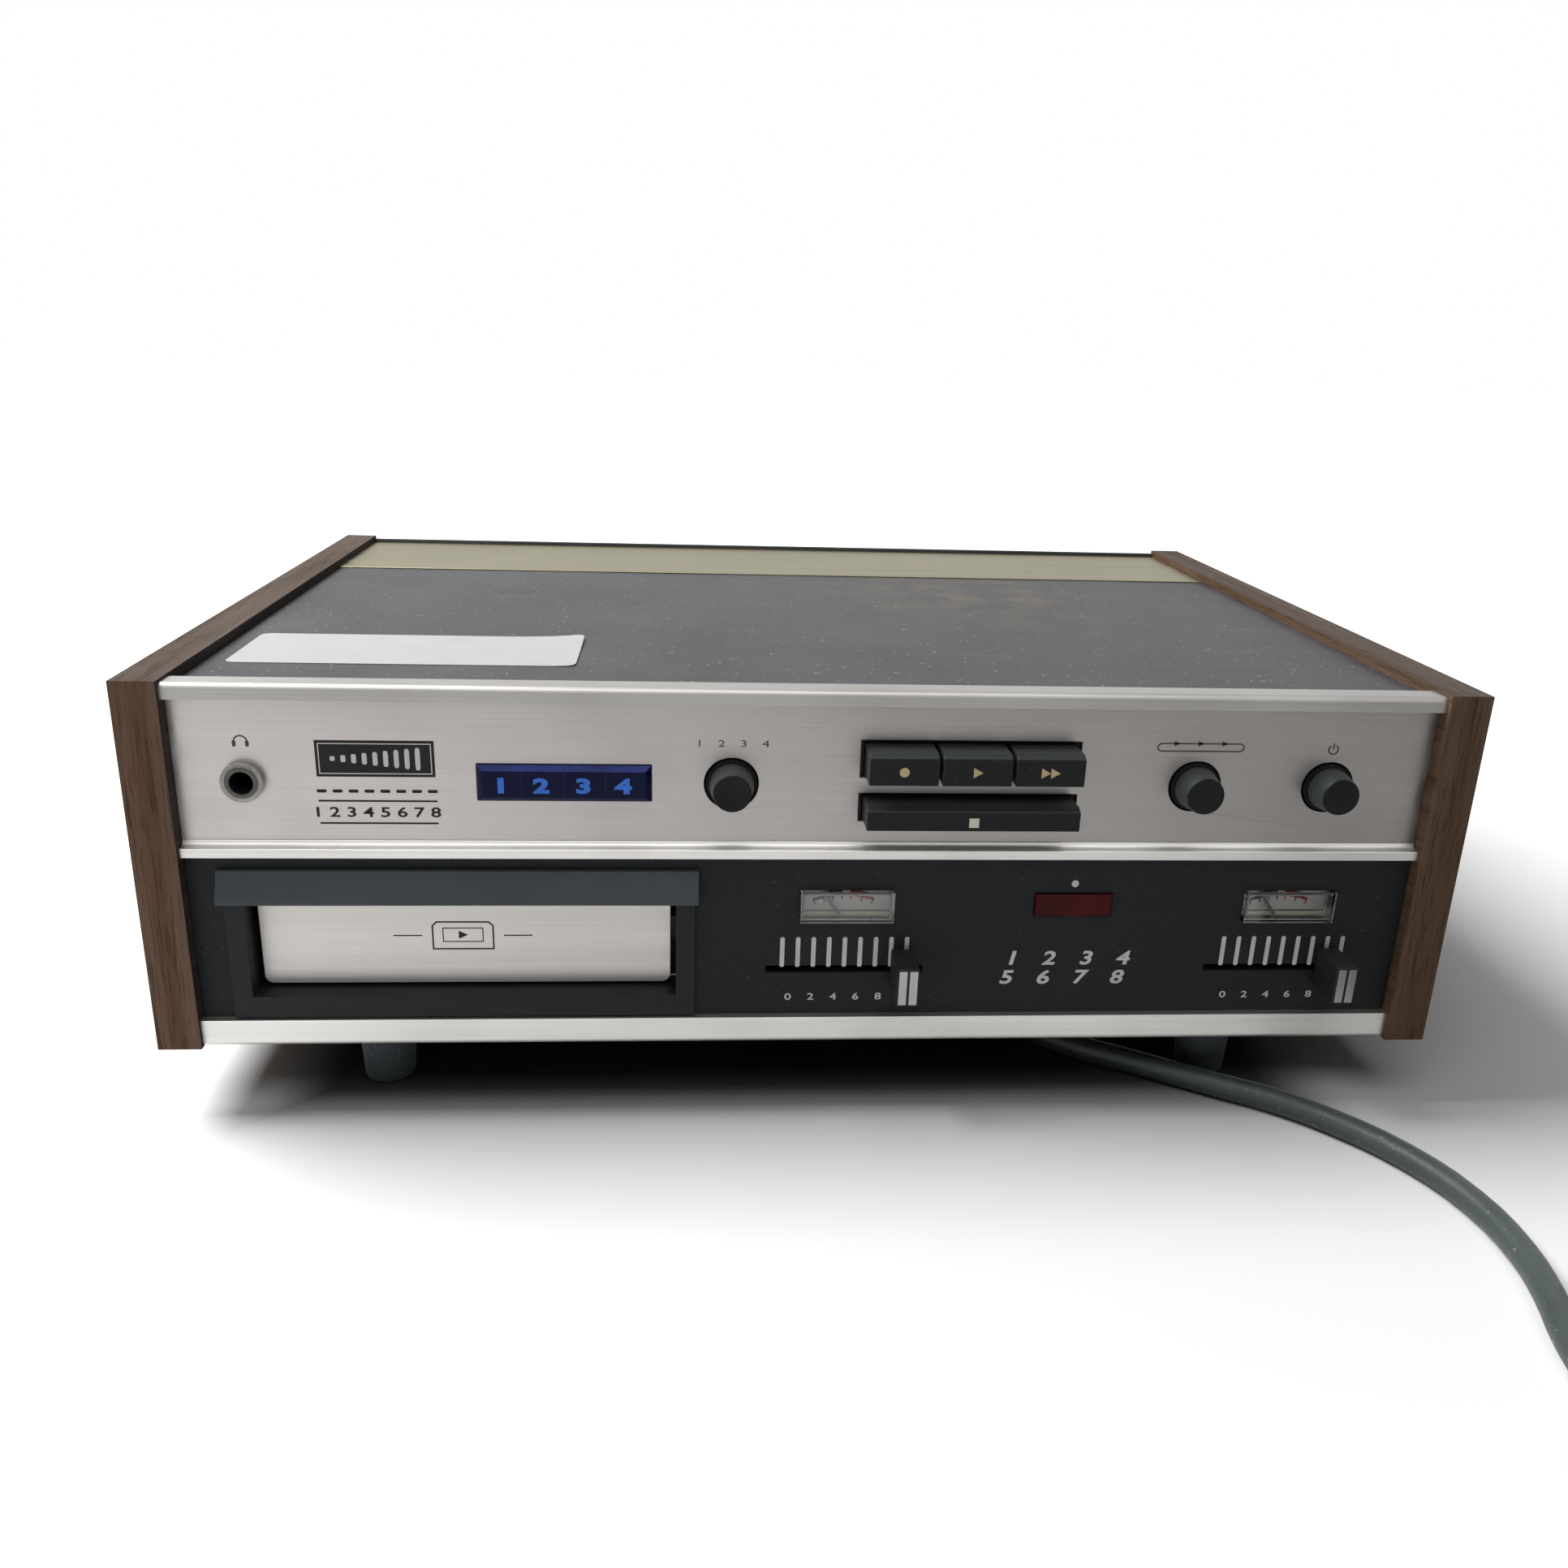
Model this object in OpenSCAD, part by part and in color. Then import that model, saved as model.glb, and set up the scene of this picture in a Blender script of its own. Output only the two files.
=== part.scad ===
// Eight-track cartridge player and recorder, a table-top deck with wooden side panels.
// The modules draw in the case frame: X to the right, Y to the rear from the front edges of
// the side panels, Z up from the underside of the case. The last lines move it onto its feet.

/* [Case] */
// Overall width across the side panels
case_w = 370; // [340:1:420]
// Depth of the side panels
case_d = 252; // [246:1:290]
// Height of the side panels
side_h = 107; // [104:1:120]
// Thickness of the side panels
side_t = 12; // [8:0.5:16]
// How far the top cover lies below the tops of the side panels
cover_drop = 3; // [2:0.25:5]
// Height of the lip along the rear edge of the top cover
cover_lip_h = 2; // [1:0.25:2.5]
// Thickness of the steel sheets
sheet_t = 1.2; // [0.8:0.1:1.8]
// Depth of the champagne strip on the top cover
rear_trim_d = 62; // [40:1:80]
// Thickness of the champagne strip
rear_trim_t = 0.5; // [0.3:0.1:1]
// How far the rear panel stands in from the rear edges of the side panels
rear_recess = 10.8; // [10:0.2:14]
// Height of the flanges along the edges of the base plate
base_flange_h = 15; // [12:1:20]

/* [Feet] */
// Height of the feet
foot_h = 22; // [18:1:30]
// Radius of a foot where it meets the base plate
foot_r = 8.5; // [7.5:0.25:12]
// Radius of a foot near the floor
foot_tip_r = 7.5; // [6.5:0.25:8.5]
// Rounding of a foot's lower edge
foot_round = 1.5; // [0.5:0.25:2.5]
// Distance of the feet from the middle of the case
foot_x = 127; // [100:1:140]
// Distance of the front feet from the front edge
foot_front_y = 24; // [22:1:32]
// Distance of the rear feet from the rear edge
foot_rear_y = 32; // [26:1:60]

/* [Front] */
// Setback of the rails behind the front edges of the side panels
rail_setback = 1.5; // [0.5:0.25:2.5]
// Depth of the rails
rail_d = 7.5; // [7:0.25:10]
// Radius of the rails' long outer edge
rail_round = 1.7; // [0.5:0.1:2]
// How far the top rail lies below the tops of the side panels
rail_drop = 0.8; // [0.3:0.1:1.5]
// Height of the top rail
top_rail_h = 4.4; // [4:0.1:6]
// Height of the middle rail
middle_rail_h = 4.3; // [3.6:0.1:5]
// Height of the bottom rail
bottom_rail_h = 8.2; // [6:0.1:9]
// Height of the black lower panel
lower_panel_h = 49.3; // [48.5:0.1:52]
// Thickness of the fascia plate
fascia_t = 2; // [1.5:0.1:3]
// Thickness of the lower panel
lower_panel_t = 3; // [2.5:0.1:3.5]
// Setback of the fascia's face behind the front edges
fascia_setback = 4.5; // [3.5:0.1:5]
// Setback of the lower panel's face behind the front edges
lower_setback = 4; // [3.5:0.1:4.5]
// Height of the row of buttons above the fascia's lower edge
control_rise = 17; // [15.5:0.25:20]

/* [Buttons and keys] */
// Radius of a button's skirt
button_r = 7; // [5.5:0.1:8]
// Radius of a button's front face
button_tip_r = 5.6; // [4:0.1:6.5]
// How far a button stands out of the fascia
button_reach = 9; // [6:0.25:11]
// Travel of a button
button_travel = 3; // [2:0.25:3.5]
// Place of the program selector button
selector_x = -24.8; // [-28:0.1:-18]
// Place of the continuous-play button
continuous_x = 105.5; // [98:0.1:110]
// Middle of the power button from the right panel's inner face
power_inset = 29; // [23:0.1:37]
// Width of one upper key
key_w = 18.9; // [14:0.1:19.5]
// Gap between the upper keys
key_gap = 1.1; // [0.6:0.1:2]
// Height of an upper key
key_h = 8.8; // [7:0.1:10]
// Height of the stop key
stop_key_h = 6.6; // [5:0.1:8]
// How far the keys stand out in front of the side panels
key_reach = 5; // [3:0.25:6]
// Travel of a key
key_travel = 5; // [3:0.25:5]
// Middle of the keys
keys_x = 41.3; // [36:0.1:46]

/* [Jack and window] */
// Radius of the phones plug's bore
jack_bore_r = 3.175; // [1.75:0.005:3.5]
// Depth of the phones plug's bore
jack_bore_l = 28; // [20:0.5:32]
// Radius of the ring nut on the phones jack
jack_nut_r = 5.6; // [5.2:0.1:8]
// Middle of the phones jack from the left panel's inner face
jack_inset = 18; // [13:0.5:27]
// Width of the program window
window_w = 47; // [40:0.5:52]
// Height of the program window
window_h = 10.4; // [8:0.1:13]
// How far the program window stands out of the fascia
window_reach = 2; // [1:0.1:3]
// Middle of the program window
window_x = -70.1; // [-76:0.1:-64]

/* [Cartridge bay] */
// Middle of the cartridge bay from the left panel's inner face
bay_inset = 74; // [71:0.5:76]
// Width of the door's face plate
door_w = 115; // [110:0.5:117]
// Height of the door's face plate
door_h = 25.3; // [24:0.1:25.6]
// Setback of the door's face behind the front edges
door_setback = 9; // [8:0.1:11]
// How far the door swings in, in degrees
door_swing = 90; // [60:1:90]
// Width of the cartridge that the bay takes
cartridge_w = 101.6; // [98:0.1:103]
// Height of the cartridge that the bay takes
cartridge_h = 22.4; // [20:0.1:23]
// How far the cartridge goes in behind the door's face
cartridge_in = 95; // [90:0.5:100]
// How far the hood stands out of the lower panel
hood_reach = 4.5; // [2:0.25:6]

/* [Meters and sliders] */
// Width of a level meter's window
meter_w = 27; // [22:0.5:30]
// Height of a level meter's window
meter_h = 9.6; // [8:0.1:10.5]
// How far a meter's lens stands out of the lower panel
meter_reach = 1.6; // [0.8:0.1:2.5]
// Swing of a meter's needle, in degrees
needle_swing = 70; // [50:1:80]
// Middle of the left level unit from the middle of the cartridge bay
left_offset = 107.75; // [103:0.25:111]
// Middle of the right level unit from the right panel's inner face
right_inset = 34.8; // [32:0.1:41]
// Length of a slider's travel
slider_travel = 35; // [28:0.5:37]
// Width of a slider's knob
knob_w = 6.3; // [5:0.1:8]
// Height of a slider's knob
knob_h = 11.6; // [9:0.1:13]
// How far a slider's knob stands out in front of the side panels
knob_reach = 9.5; // [6:0.25:12]
// Where the left slider rests, from the middle of its slot
left_rest = 16.5; // [-17:0.5:17]
// Where the right slider rests, from the middle of its slot
right_rest = 14; // [-17:0.5:17]
// Width of the record lamp's lens
lamp_w = 22.7; // [18:0.1:26]
// Height of the record lamp's lens
lamp_h = 7; // [5:0.1:9]
// Middle of the record lamp
lamp_x = 74.2; // [68:0.1:80]

/* [Mechanism] */
// Radius of the flywheel
flywheel_r = 36; // [30:0.5:38]
// Height of the flywheel
flywheel_h = 10; // [8:0.5:12]
// Radius of the capstan shaft
capstan_r = 2.2; // [1.5:0.05:3]
// Running clearance between a shaft and its bore
running_gap = 0.05; // [0.02:0.01:0.09]
// Radius of the motor pulley
pulley_r = 9.2; // [7:0.1:12]
// Radius of the motor
motor_r = 26; // [20:0.5:28]
// Width of the flat drive belt
belt_w = 4; // [3:0.25:5]
// Thickness of the drive belt
belt_t = 1; // [0.6:0.1:1.4]
// How far the tape head moves from the first program to the last
head_travel = 2.4; // [1.6:0.1:3]
// How far the program cam turns from the first program to the last, in degrees
cam_turn = 270; // [180:10:300]
// Travel of the solenoid's plunger
plunger_travel = 4; // [2:0.25:5]

/* [Mains cord] */
// Diameter of the mains cord
cord_d = 7.5; // [6.5:0.1:7.6]
// Distance from one turn of the cord's coil to the next
coil_pitch = 8; // [8:0.1:9]
// Radius of the coil's outermost turn
coil_r = 50; // [46:1:54]
// Turns in the coil
coil_turns = 4.25; // [2.25:1:5.25]

/* [Hidden] */
$fn = 48;

gap = 0.3;                              // clearance between moving parts that aren't shafts
front_y = -(case_d - knob_reach) / 2;   // case frame to the middle of the whole part
inner_x = case_w / 2 - side_t;          // inner faces of the side panels
bay_x = bay_inset - inner_x;            // middle of the cartridge bay
jack_x = jack_inset - inner_x;
power_x = inner_x - power_inset;
left_x = bay_x + left_offset;
right_x = inner_x - right_inset;
cover_top = side_h - cover_drop;
cover_under = cover_top - sheet_t;
rear_y = case_d - rear_recess;          // outer face of the rear panel
cover_back = case_d - 1.5;              // rear edge of the cover and of the base plate

rail_back = rail_setback + rail_d;
top_rail_top = side_h - rail_drop;
fascia_top = top_rail_top - top_rail_h;
lower_top = bottom_rail_h + lower_panel_h;
fascia_bottom = lower_top + middle_rail_h;
fascia_h = fascia_top - fascia_bottom;
fascia_back = fascia_setback + fascia_t;
lower_back = lower_setback + lower_panel_t;
control_z = fascia_bottom + control_rise;

screw_r = 1.5;
screw_head_r = 3;
screw_head_h = 2;
screw_l = 9;
foot_recess_r = 3.6;
foot_recess_h = 9;
foot_back_y = case_d - foot_rear_y;
foot_places = [for (x = [-foot_x, foot_x], y = [foot_front_y, foot_back_y]) [x, y]];
side_screw_end = 40;                    // from a side panel's end to its outer screws
side_screw_ys = [side_screw_end, case_d / 2, case_d - side_screw_end];
side_screw_z = sheet_t + 8;
rear_screw_xs = [23 - inner_x, -10, inner_x - 78];    // along the rear panel's lower edge
rear_screw_z = sheet_t + 7;
vent_pitch = 12;
vent_z = 30;
vent_xs = [28 - inner_x : vent_pitch : 0];            // slots in the rear panel
vent_size = [4, 40];

// keys
key_row_w = 3 * key_w + 2 * key_gap;
key_cut_margin = 1.25;
key_rise = 2.8;                         // lower edge of the three keys above the middle line
stop_drop = 10.2;                       // lower edge of the stop key under it
key_bottom_z = control_z + key_rise;
stop_bottom_z = control_z - stop_drop;
key_head_back = 12;                     // rear end of a key's head
key_stem = [4, 5];
key_frame_depth = 30;
key_frame_t = 1.5;
key_bevel = 1;
function key_x(i) = keys_x - key_row_w / 2 + key_w / 2 + i * (key_w + key_gap);

// buttons
button_stem_r = 2.5;
button_skirt_back = fascia_back + 5.5;
button_stem_l = 12;
button_stem_back = button_skirt_back + button_stem_l;
switch_size = 19;
switch_back = button_stem_back + button_travel + 4;
button_hole_r = button_r + 0.4;

// program window and lamps
window_flange = 1.2;
window_chamfer = 1.5;
holder_wall = 1.2;
holder_depth = 16;
bulb_r = 2;
bulb_l = 11;
lens_flange_t = 1.2;
lamp_z = bottom_rail_h + 34.6;
lamp_reach = 1.2;

// phones jack
jack_bush_r = 4.4;
jack_nut_t = 2;
jack_body = 17;

// cartridge bay
bezel_t = 1.6;                          // how far the bezel's rim stands out of the lower panel
bezel_bottom_z = 8.7;
bezel_top_z = lower_top - 4;
bezel_side = 8;                         // from the door's edge to the bezel's rim
tunnel_wall = 3.8;
tunnel_side = 1.7;                      // from the door's edge to the tunnel's wall
bezel_ledge_z = 15.2;
tunnel_top_z = 44.5;
tunnel_roof_z = 45.6;                   // higher behind the hood, for the door's ears
bezel_back = 14;
hood_lip_h = 1;
rim_inset = 1;                          // how much narrower the rim is than the hood
door_bottom_z = 16.2;
door_top_z = door_bottom_z + door_h;
door_face_t = 0.6;
door_flap_t = 2.4;
door_flap_inset = 0.8;
door_corner_r = 2.5;
hinge_y = door_setback + 1.8;
hinge_z = door_top_z + 1.5;
hinge_pin_r = 1;
hinge_ear_r = 2.2;
hinge_ear_w = 5;
tray_floor_z = bezel_ledge_z + 0.6;     // top of the tray's floor, under the door's swing
tray_wall = 1.5;
tray_inner_w = door_w + 2 * tunnel_side + 0.6;
tray_front = bezel_back + gap;
tray_back = door_setback + cartridge_in + 8;
tray_leg = 8;
guide_front = 40;
guide_h = 7;
cartridge_play = 1;                     // room beside the cartridge
cartridge_end = door_setback + cartridge_in;

// deck
deck_z = 46;
deck_t = 1.6;
deck_front = 42;
deck_back = rear_y - 29.2;
deck_left = bay_x - tray_inner_w / 2 - tray_wall;
deck_right = bay_x + tray_inner_w / 2 + tray_wall;
deck_post_r = 4;
deck_posts = [[bay_x - 49, deck_back - 8], [bay_x + 39, deck_back - 8],
    [bay_x + 55, cartridge_end + 46]];

// capstan drive
capstan_x = bay_x + 37;
capstan_y = cartridge_end + capstan_r + 0.3;
bush_r = 5;
bush_flange_r = 8;
bush_top = deck_z + deck_t + 3.4;
bush_bottom = deck_z - 5;
flywheel_z = bush_top + 2;
hub_r = 8;
capstan_bottom = tray_floor_z + 2.2;
motor_x = bay_x - 16;
motor_bottom = 6;
motor_boss_r = 12;
motor_shaft_r = 2.5;
pulley_h = 8;
pulley_z = flywheel_z + (flywheel_h - pulley_h) / 2;
belt_z = flywheel_z + (flywheel_h - belt_w) / 2;

// tape head
head_x = bay_x + 1;
head_size = [12, 11, 14];
head_z = 22;
carriage_y = cartridge_end + gap + head_size[1];
carriage_t = 3;
carriage_w = 38;
carriage_h = 20;
guide_post_r = 2;
guide_block = 9;
guide_post_y = carriage_y + carriage_t + guide_block / 2;
guide_post_dx = 14;
guide_post_z = 16.5;                    // lower ends of the posts that hang from the deck
cam_y = carriage_y + carriage_t + 1.5;
cam_t = 5;
cam_r = 4.5;
cam_z = 9.5;
cam_shaft_r = 1.5;
ratchet_r = 7.4;
ratchet_t = 2.5;
ratchet_teeth = 12;
cam_bracket_t = 6;
cam_bracket_y = cam_y + cam_t + ratchet_t + 1;
motor_y = cam_bracket_y + cam_bracket_t + 4.7 + motor_r;
plunger_r = 3;
plunger_y = cam_y + cam_t + ratchet_t / 2;
solenoid_size = [26, 22, 22];
solenoid_x = head_x + 21;
plunger_z = sheet_t + solenoid_size[2] / 2;

// meters and sliders
meter_z = bottom_rail_h + 34.1;
meter_case = [31, 19, 22];
meter_wall = 1.2;
needle_pivot_drop = 7;
needle_l = 10.4;
needle_r = 0.4;
coil_drum_r = 3;
coil_drum_l = 6;
needle_shaft_r = 0.8;
scale_y = 10.5;                         // face of the meter's scale
slot_z = bottom_rail_h + 14.2;
slot_h = 2.2;
stem_h = slot_h - 2 * gap;
stem_w = 3;
slot_w = slider_travel + stem_w + 7.5;
fader_h = 9;
fader_d = 13;
fader_end = 4;
stem_back = lower_back + 8;
knob_front_gap = 0.5;
knob_top_over = 6.6;                    // knob's top above the slot

// power supply and electronics
board_z = 14;
board_t = 1.6;
standoff_r = 3;
transformer = [48, 32, 40];
transformer_place = [inner_x - 11 - transformer[0] / 2, rear_y - 29.2 - transformer[1] / 2];
board_x = [deck_right + 10, transformer_place[0] - transformer[0] / 2 - 14];
board_y = [46, rear_y - 19.2];
transformer_limb = 8;
winding_over = 9;
jack_pitch_x = 18;
jack_pitch_z = 20;
jack_group = [40, 45];                  // middle of the line jacks on the rear panel
line_jack_r = 4.15;
line_jack_l = 9;
line_jack_flange_r = 6.5;
line_jack_pin_r = 1.6;

// mains cord: places on the floor are measured from the floor upwards
relief_x = 115;
relief_z = 24;
relief_l = 21;
relief_hole_r = 7;
relief_flange_r = 9;
relief_end_y = rear_y + relief_l;
cord_r = cord_d / 2;
tie_t = 0.6;
coil_layer = coil_pitch;
coil_center = [236, -110];
coil_inner_r = coil_r - coil_pitch * coil_turns / 2;
coil_z = cord_r * cos(30) + tie_t + 0.1;   // the tube's flat underside lies on the tie
coil_rings = 24;
plug_place = [281.5, -58];
plug_turn = 12;
plug_size = [30, 38, 17];
plug_pin_r = 2.4;
plug_pin_l = 19;
plug_pin_pitch = 19;

// route of the mains cord, [x, y] in the case frame and height above the floor
cord_rear = [[115, 270, 45.5], [111, 284, 42], [99, 294, 35.5], [84, 298, 27], [68, 294, 18.5],
    [56, 283, 11], [51, 267, 5.8], [50, 250, 3.8]];
cord_under = [[50, 228, 3.8], [49, 205, 3.8], [49, 180, 3.8], [49, 155, 3.8], [50, 130, 3.8],
    [52, 106, 3.8], [56, 83, 3.8], [63, 61, 3.8], [74, 42.5, 3.8], [89, 28.5, 3.8]];
cord_front = [[101, 21, 3.8], [113.5, 13, 3.8], [126, 5, 3.8], [139, -3, 3.8],
    [153, -15.5, 3.8], [166, -33, 3.8], [173.5, -53, 3.8], [174.5, -74, 3.8],
    [171.5, -90, 3.8], [167.3, -103.5, 3.8]];
cord_unseen = [[165.3, -116.5, 3.8], [168, -131.5, 3.8], [175.5, -144.5, 3.8],
    [187, -154, 3.85], [201, -159.2, 3.9], [214, -160, 3.95]];
cord_tail = [[285.9, -92, 11.7], [285, -80, 10.7], [283.6, -69, 9.3]];

// ---------- helpers ----------

module at_case() {
    translate([0, front_y, foot_h]) children();
}

// a box from its lowest to its highest corner
module block(low, high) {
    translate(low) cube(high - low);
}

// a cylinder along Y from y1 to y2
module rod_y(x, z, r, y1, y2) {
    translate([x, y2, z]) rotate([90, 0, 0]) cylinder(r = r, h = y2 - y1);
}

// a frustum along Y, r1 at y1 and r2 at y2
module cone_y(x, z, r1, r2, y1, y2) {
    translate([x, y1, z]) rotate([-90, 0, 0]) cylinder(r1 = r1, r2 = r2, h = y2 - y1);
}

// a cylinder along X from x1 to x2
module rod_x(y, z, r, x1, x2) {
    translate([x1, y, z]) rotate([0, 90, 0]) cylinder(r = r, h = x2 - x1);
}

// a plate in X and Z with its lower two corners rounded, from y1 to y2
module plate_low_round(x1, x2, z1, z2, r, y1, y2) {
    translate([0, y2, 0]) rotate([90, 0, 0]) linear_extrude(y2 - y1) union() {
        translate([x1, z1 + r]) square([x2 - x1, z2 - z1 - r]);
        translate([x1 + r, z1]) square([x2 - x1 - 2 * r, r]);
        for (x = [x1 + r, x2 - r]) translate([x, z1 + r]) circle(r);
    }
}

// a rail between the side panels, its section drawn with Y to the right and Z up
module rail() {
    translate([-inner_x, 0, 0]) rotate([90, 0, 90]) linear_extrude(2 * inner_x) children();
}

// ---------- case ----------

module side_panel(side) {
    difference() {
        block([side > 0 ? inner_x : -case_w / 2, 0, 0],
            [side > 0 ? case_w / 2 : -inner_x, case_d, side_h]);
        for (y = side_screw_ys)
            rod_x(y, side_screw_z, screw_r, side > 0 ? inner_x - 1 : -inner_x - screw_l,
                side > 0 ? inner_x + screw_l : -inner_x + 1);
    }
}

module left_side_panel() { color("saddlebrown") side_panel(-1); }

module right_side_panel() { color("saddlebrown") side_panel(1); }

module top_cover() {
    color("dimgray") union() {
        block([-inner_x, rail_back, cover_under], [inner_x, cover_back, cover_top]);
        block([-inner_x, cover_back - sheet_t, cover_under],
            [inner_x, cover_back, cover_top + cover_lip_h]);
    }
}

module rear_trim() {
    color("darkkhaki") block([-inner_x, cover_back - sheet_t - rear_trim_d, cover_top],
        [inner_x, cover_back - sheet_t, cover_top + rear_trim_t]);
}

module base_plate() {
    rear_face = rear_y - sheet_t;
    color("gray") difference() {
        union() {
            block([-inner_x, rail_back, 0], [inner_x, cover_back, sheet_t]);
            for (side = [-1, 1])
                block([side > 0 ? inner_x - sheet_t : -inner_x, rail_back + 4, 0],
                    [side > 0 ? inner_x : -inner_x + sheet_t, rear_face - 4, base_flange_h]);
            block([-inner_x + 6, rear_face - sheet_t, 0], [inner_x - 6, rear_face, base_flange_h]);
        }
        for (side = [-1, 1], y = side_screw_ys)
            rod_x(y, side_screw_z, screw_r, side * inner_x - 4, side * inner_x + 4);
        for (x = rear_screw_xs)
            rod_y(x, rear_screw_z, screw_r, rear_face - 4, rear_face + 1);
        for (p = foot_places)
            translate([p[0], p[1], -1]) cylinder(r = screw_r, h = sheet_t + 2);
    }
}

module rear_panel() {
    color("dimgray") difference() {
        block([-inner_x, rear_y - sheet_t, sheet_t], [inner_x, rear_y, cover_under]);
        for (x = rear_screw_xs) rod_y(x, rear_screw_z, screw_r, rear_y - 4, rear_y + 1);
        for (x = vent_xs)
            block([x, rear_y - 4, vent_z], [x + vent_size[0], rear_y + 1, vent_z + vent_size[1]]);
        rod_y(relief_x, relief_z, relief_hole_r, rear_y - 4, rear_y + 1);
        for (i = [-0.5, 0.5], k = [-0.5, 0.5])
            rod_y(jack_group[0] + i * jack_pitch_x, jack_group[1] + k * jack_pitch_z,
                line_jack_r, rear_y - 4, rear_y + 1);
    }
}

module foot() {
    rotate_extrude() union() {
        difference() {
            polygon([[0, foot_round], [foot_tip_r, foot_round], [foot_r, foot_h], [0, foot_h]]);
            square([foot_recess_r, foot_recess_h]);
            square([screw_r, foot_h + 1]);
        }
        difference() {
            union() {
                square([foot_tip_r - foot_round, foot_round]);
                translate([foot_tip_r - foot_round, foot_round]) circle(foot_round);
            }
            translate([0, foot_round]) square([foot_tip_r, foot_round + 1]);
            square([foot_recess_r, foot_recess_h]);
        }
    }
}

module feet() {
    color("dimgray") for (p = foot_places) translate([p[0], p[1], -foot_h]) foot();
}

// a pan-head screw: its head's underside at z = 0, its shank upwards
module screw(l) {
    union() {
        translate([0, 0, -screw_head_h]) cylinder(r = screw_head_r, h = screw_head_h);
        cylinder(r = screw_r, h = l);
    }
}

module screws() {
    color("silver") {
        for (p = foot_places)
            translate([p[0], p[1], -foot_h + foot_recess_h])
                screw(foot_h - foot_recess_h + sheet_t + 3);
        for (side = [-1, 1], y = side_screw_ys)
            translate([side * (inner_x - sheet_t), y, side_screw_z])
                rotate([0, side * 90, 0]) screw(sheet_t + screw_l - 0.5);
        for (x = rear_screw_xs)
            translate([x, rear_y, rear_screw_z]) rotate([90, 0, 0]) screw(2 * sheet_t + 2);
    }
}

// ---------- front ----------

module top_rail() {
    color("lightgray") rail() union() {
        translate([rail_setback, fascia_top]) square([rail_d, top_rail_h - rail_round]);
        translate([rail_setback + rail_round, fascia_top])
            square([rail_d - rail_round, top_rail_h]);
        translate([rail_setback + rail_round, top_rail_top - rail_round]) circle(rail_round);
    }
}

module middle_rail() {
    nose_h = 2.8;                       // height of the front nose, under a concave ledge
    cove_r = middle_rail_h - nose_h;
    color("lightgray") rail() difference() {
        union() {
            translate([rail_setback, lower_top]) square([rail_d, nose_h]);
            translate([fascia_setback - cove_r, lower_top])
                square([rail_back - fascia_setback + cove_r, middle_rail_h]);
        }
        translate([fascia_setback - cove_r, fascia_bottom]) circle(cove_r);
    }
}

module bottom_rail() {
    color("lightgray") rail() union() {
        translate([rail_setback, rail_round]) square([rail_d, bottom_rail_h - rail_round]);
        translate([rail_setback + rail_round, 0]) square([rail_d - rail_round, bottom_rail_h]);
        translate([rail_setback + rail_round, rail_round]) circle(rail_round);
    }
}

module fascia() {
    color("gainsboro") difference() {
        block([-inner_x, fascia_setback, fascia_bottom], [inner_x, fascia_back, fascia_top]);
        rod_y(jack_x, control_z, jack_bush_r, 0, fascia_back + 1);
        block([window_x - window_w / 2, 0, control_z - window_h / 2],
            [window_x + window_w / 2, fascia_back + 1, control_z + window_h / 2]);
        for (x = [selector_x, continuous_x, power_x])
            rod_y(x, control_z, button_hole_r, 0, fascia_back + 1);
        block([keys_x - key_row_w / 2 - key_cut_margin, 0, key_bottom_z - 0.8],
            [keys_x + key_row_w / 2 + key_cut_margin, fascia_back + 1, key_bottom_z + key_h + 1.2]);
        block([keys_x - key_row_w / 2 - key_cut_margin, 0, stop_bottom_z - 0.6],
            [keys_x + key_row_w / 2 + key_cut_margin, fascia_back + 1,
                stop_bottom_z + stop_key_h + 1]);
    }
}

module lower_panel() {
    color("black") difference() {
        block([-inner_x, lower_setback, bottom_rail_h], [inner_x, lower_back, lower_top]);
        block([bay_x - tunnel_outer_w / 2, 0, bezel_ledge_z - tunnel_wall],
            [bay_x + tunnel_outer_w / 2, lower_back + 1, tunnel_top_z + tunnel_wall]);
        for (x = [left_x, right_x]) {
            block([x - meter_w / 2, 0, meter_z - meter_h / 2],
                [x + meter_w / 2, lower_back + 1, meter_z + meter_h / 2]);
            block([x - slot_w / 2, 0, slot_z - slot_h / 2],
                [x + slot_w / 2, lower_back + 1, slot_z + slot_h / 2]);
        }
        block([lamp_x - lamp_w / 2, 0, lamp_z - lamp_h / 2],
            [lamp_x + lamp_w / 2, lower_back + 1, lamp_z + lamp_h / 2]);
    }
}

// ---------- cartridge door and bay ----------

tunnel_inner_w = door_w + 2 * tunnel_side;
tunnel_outer_w = tunnel_inner_w + 2 * tunnel_wall;

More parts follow.
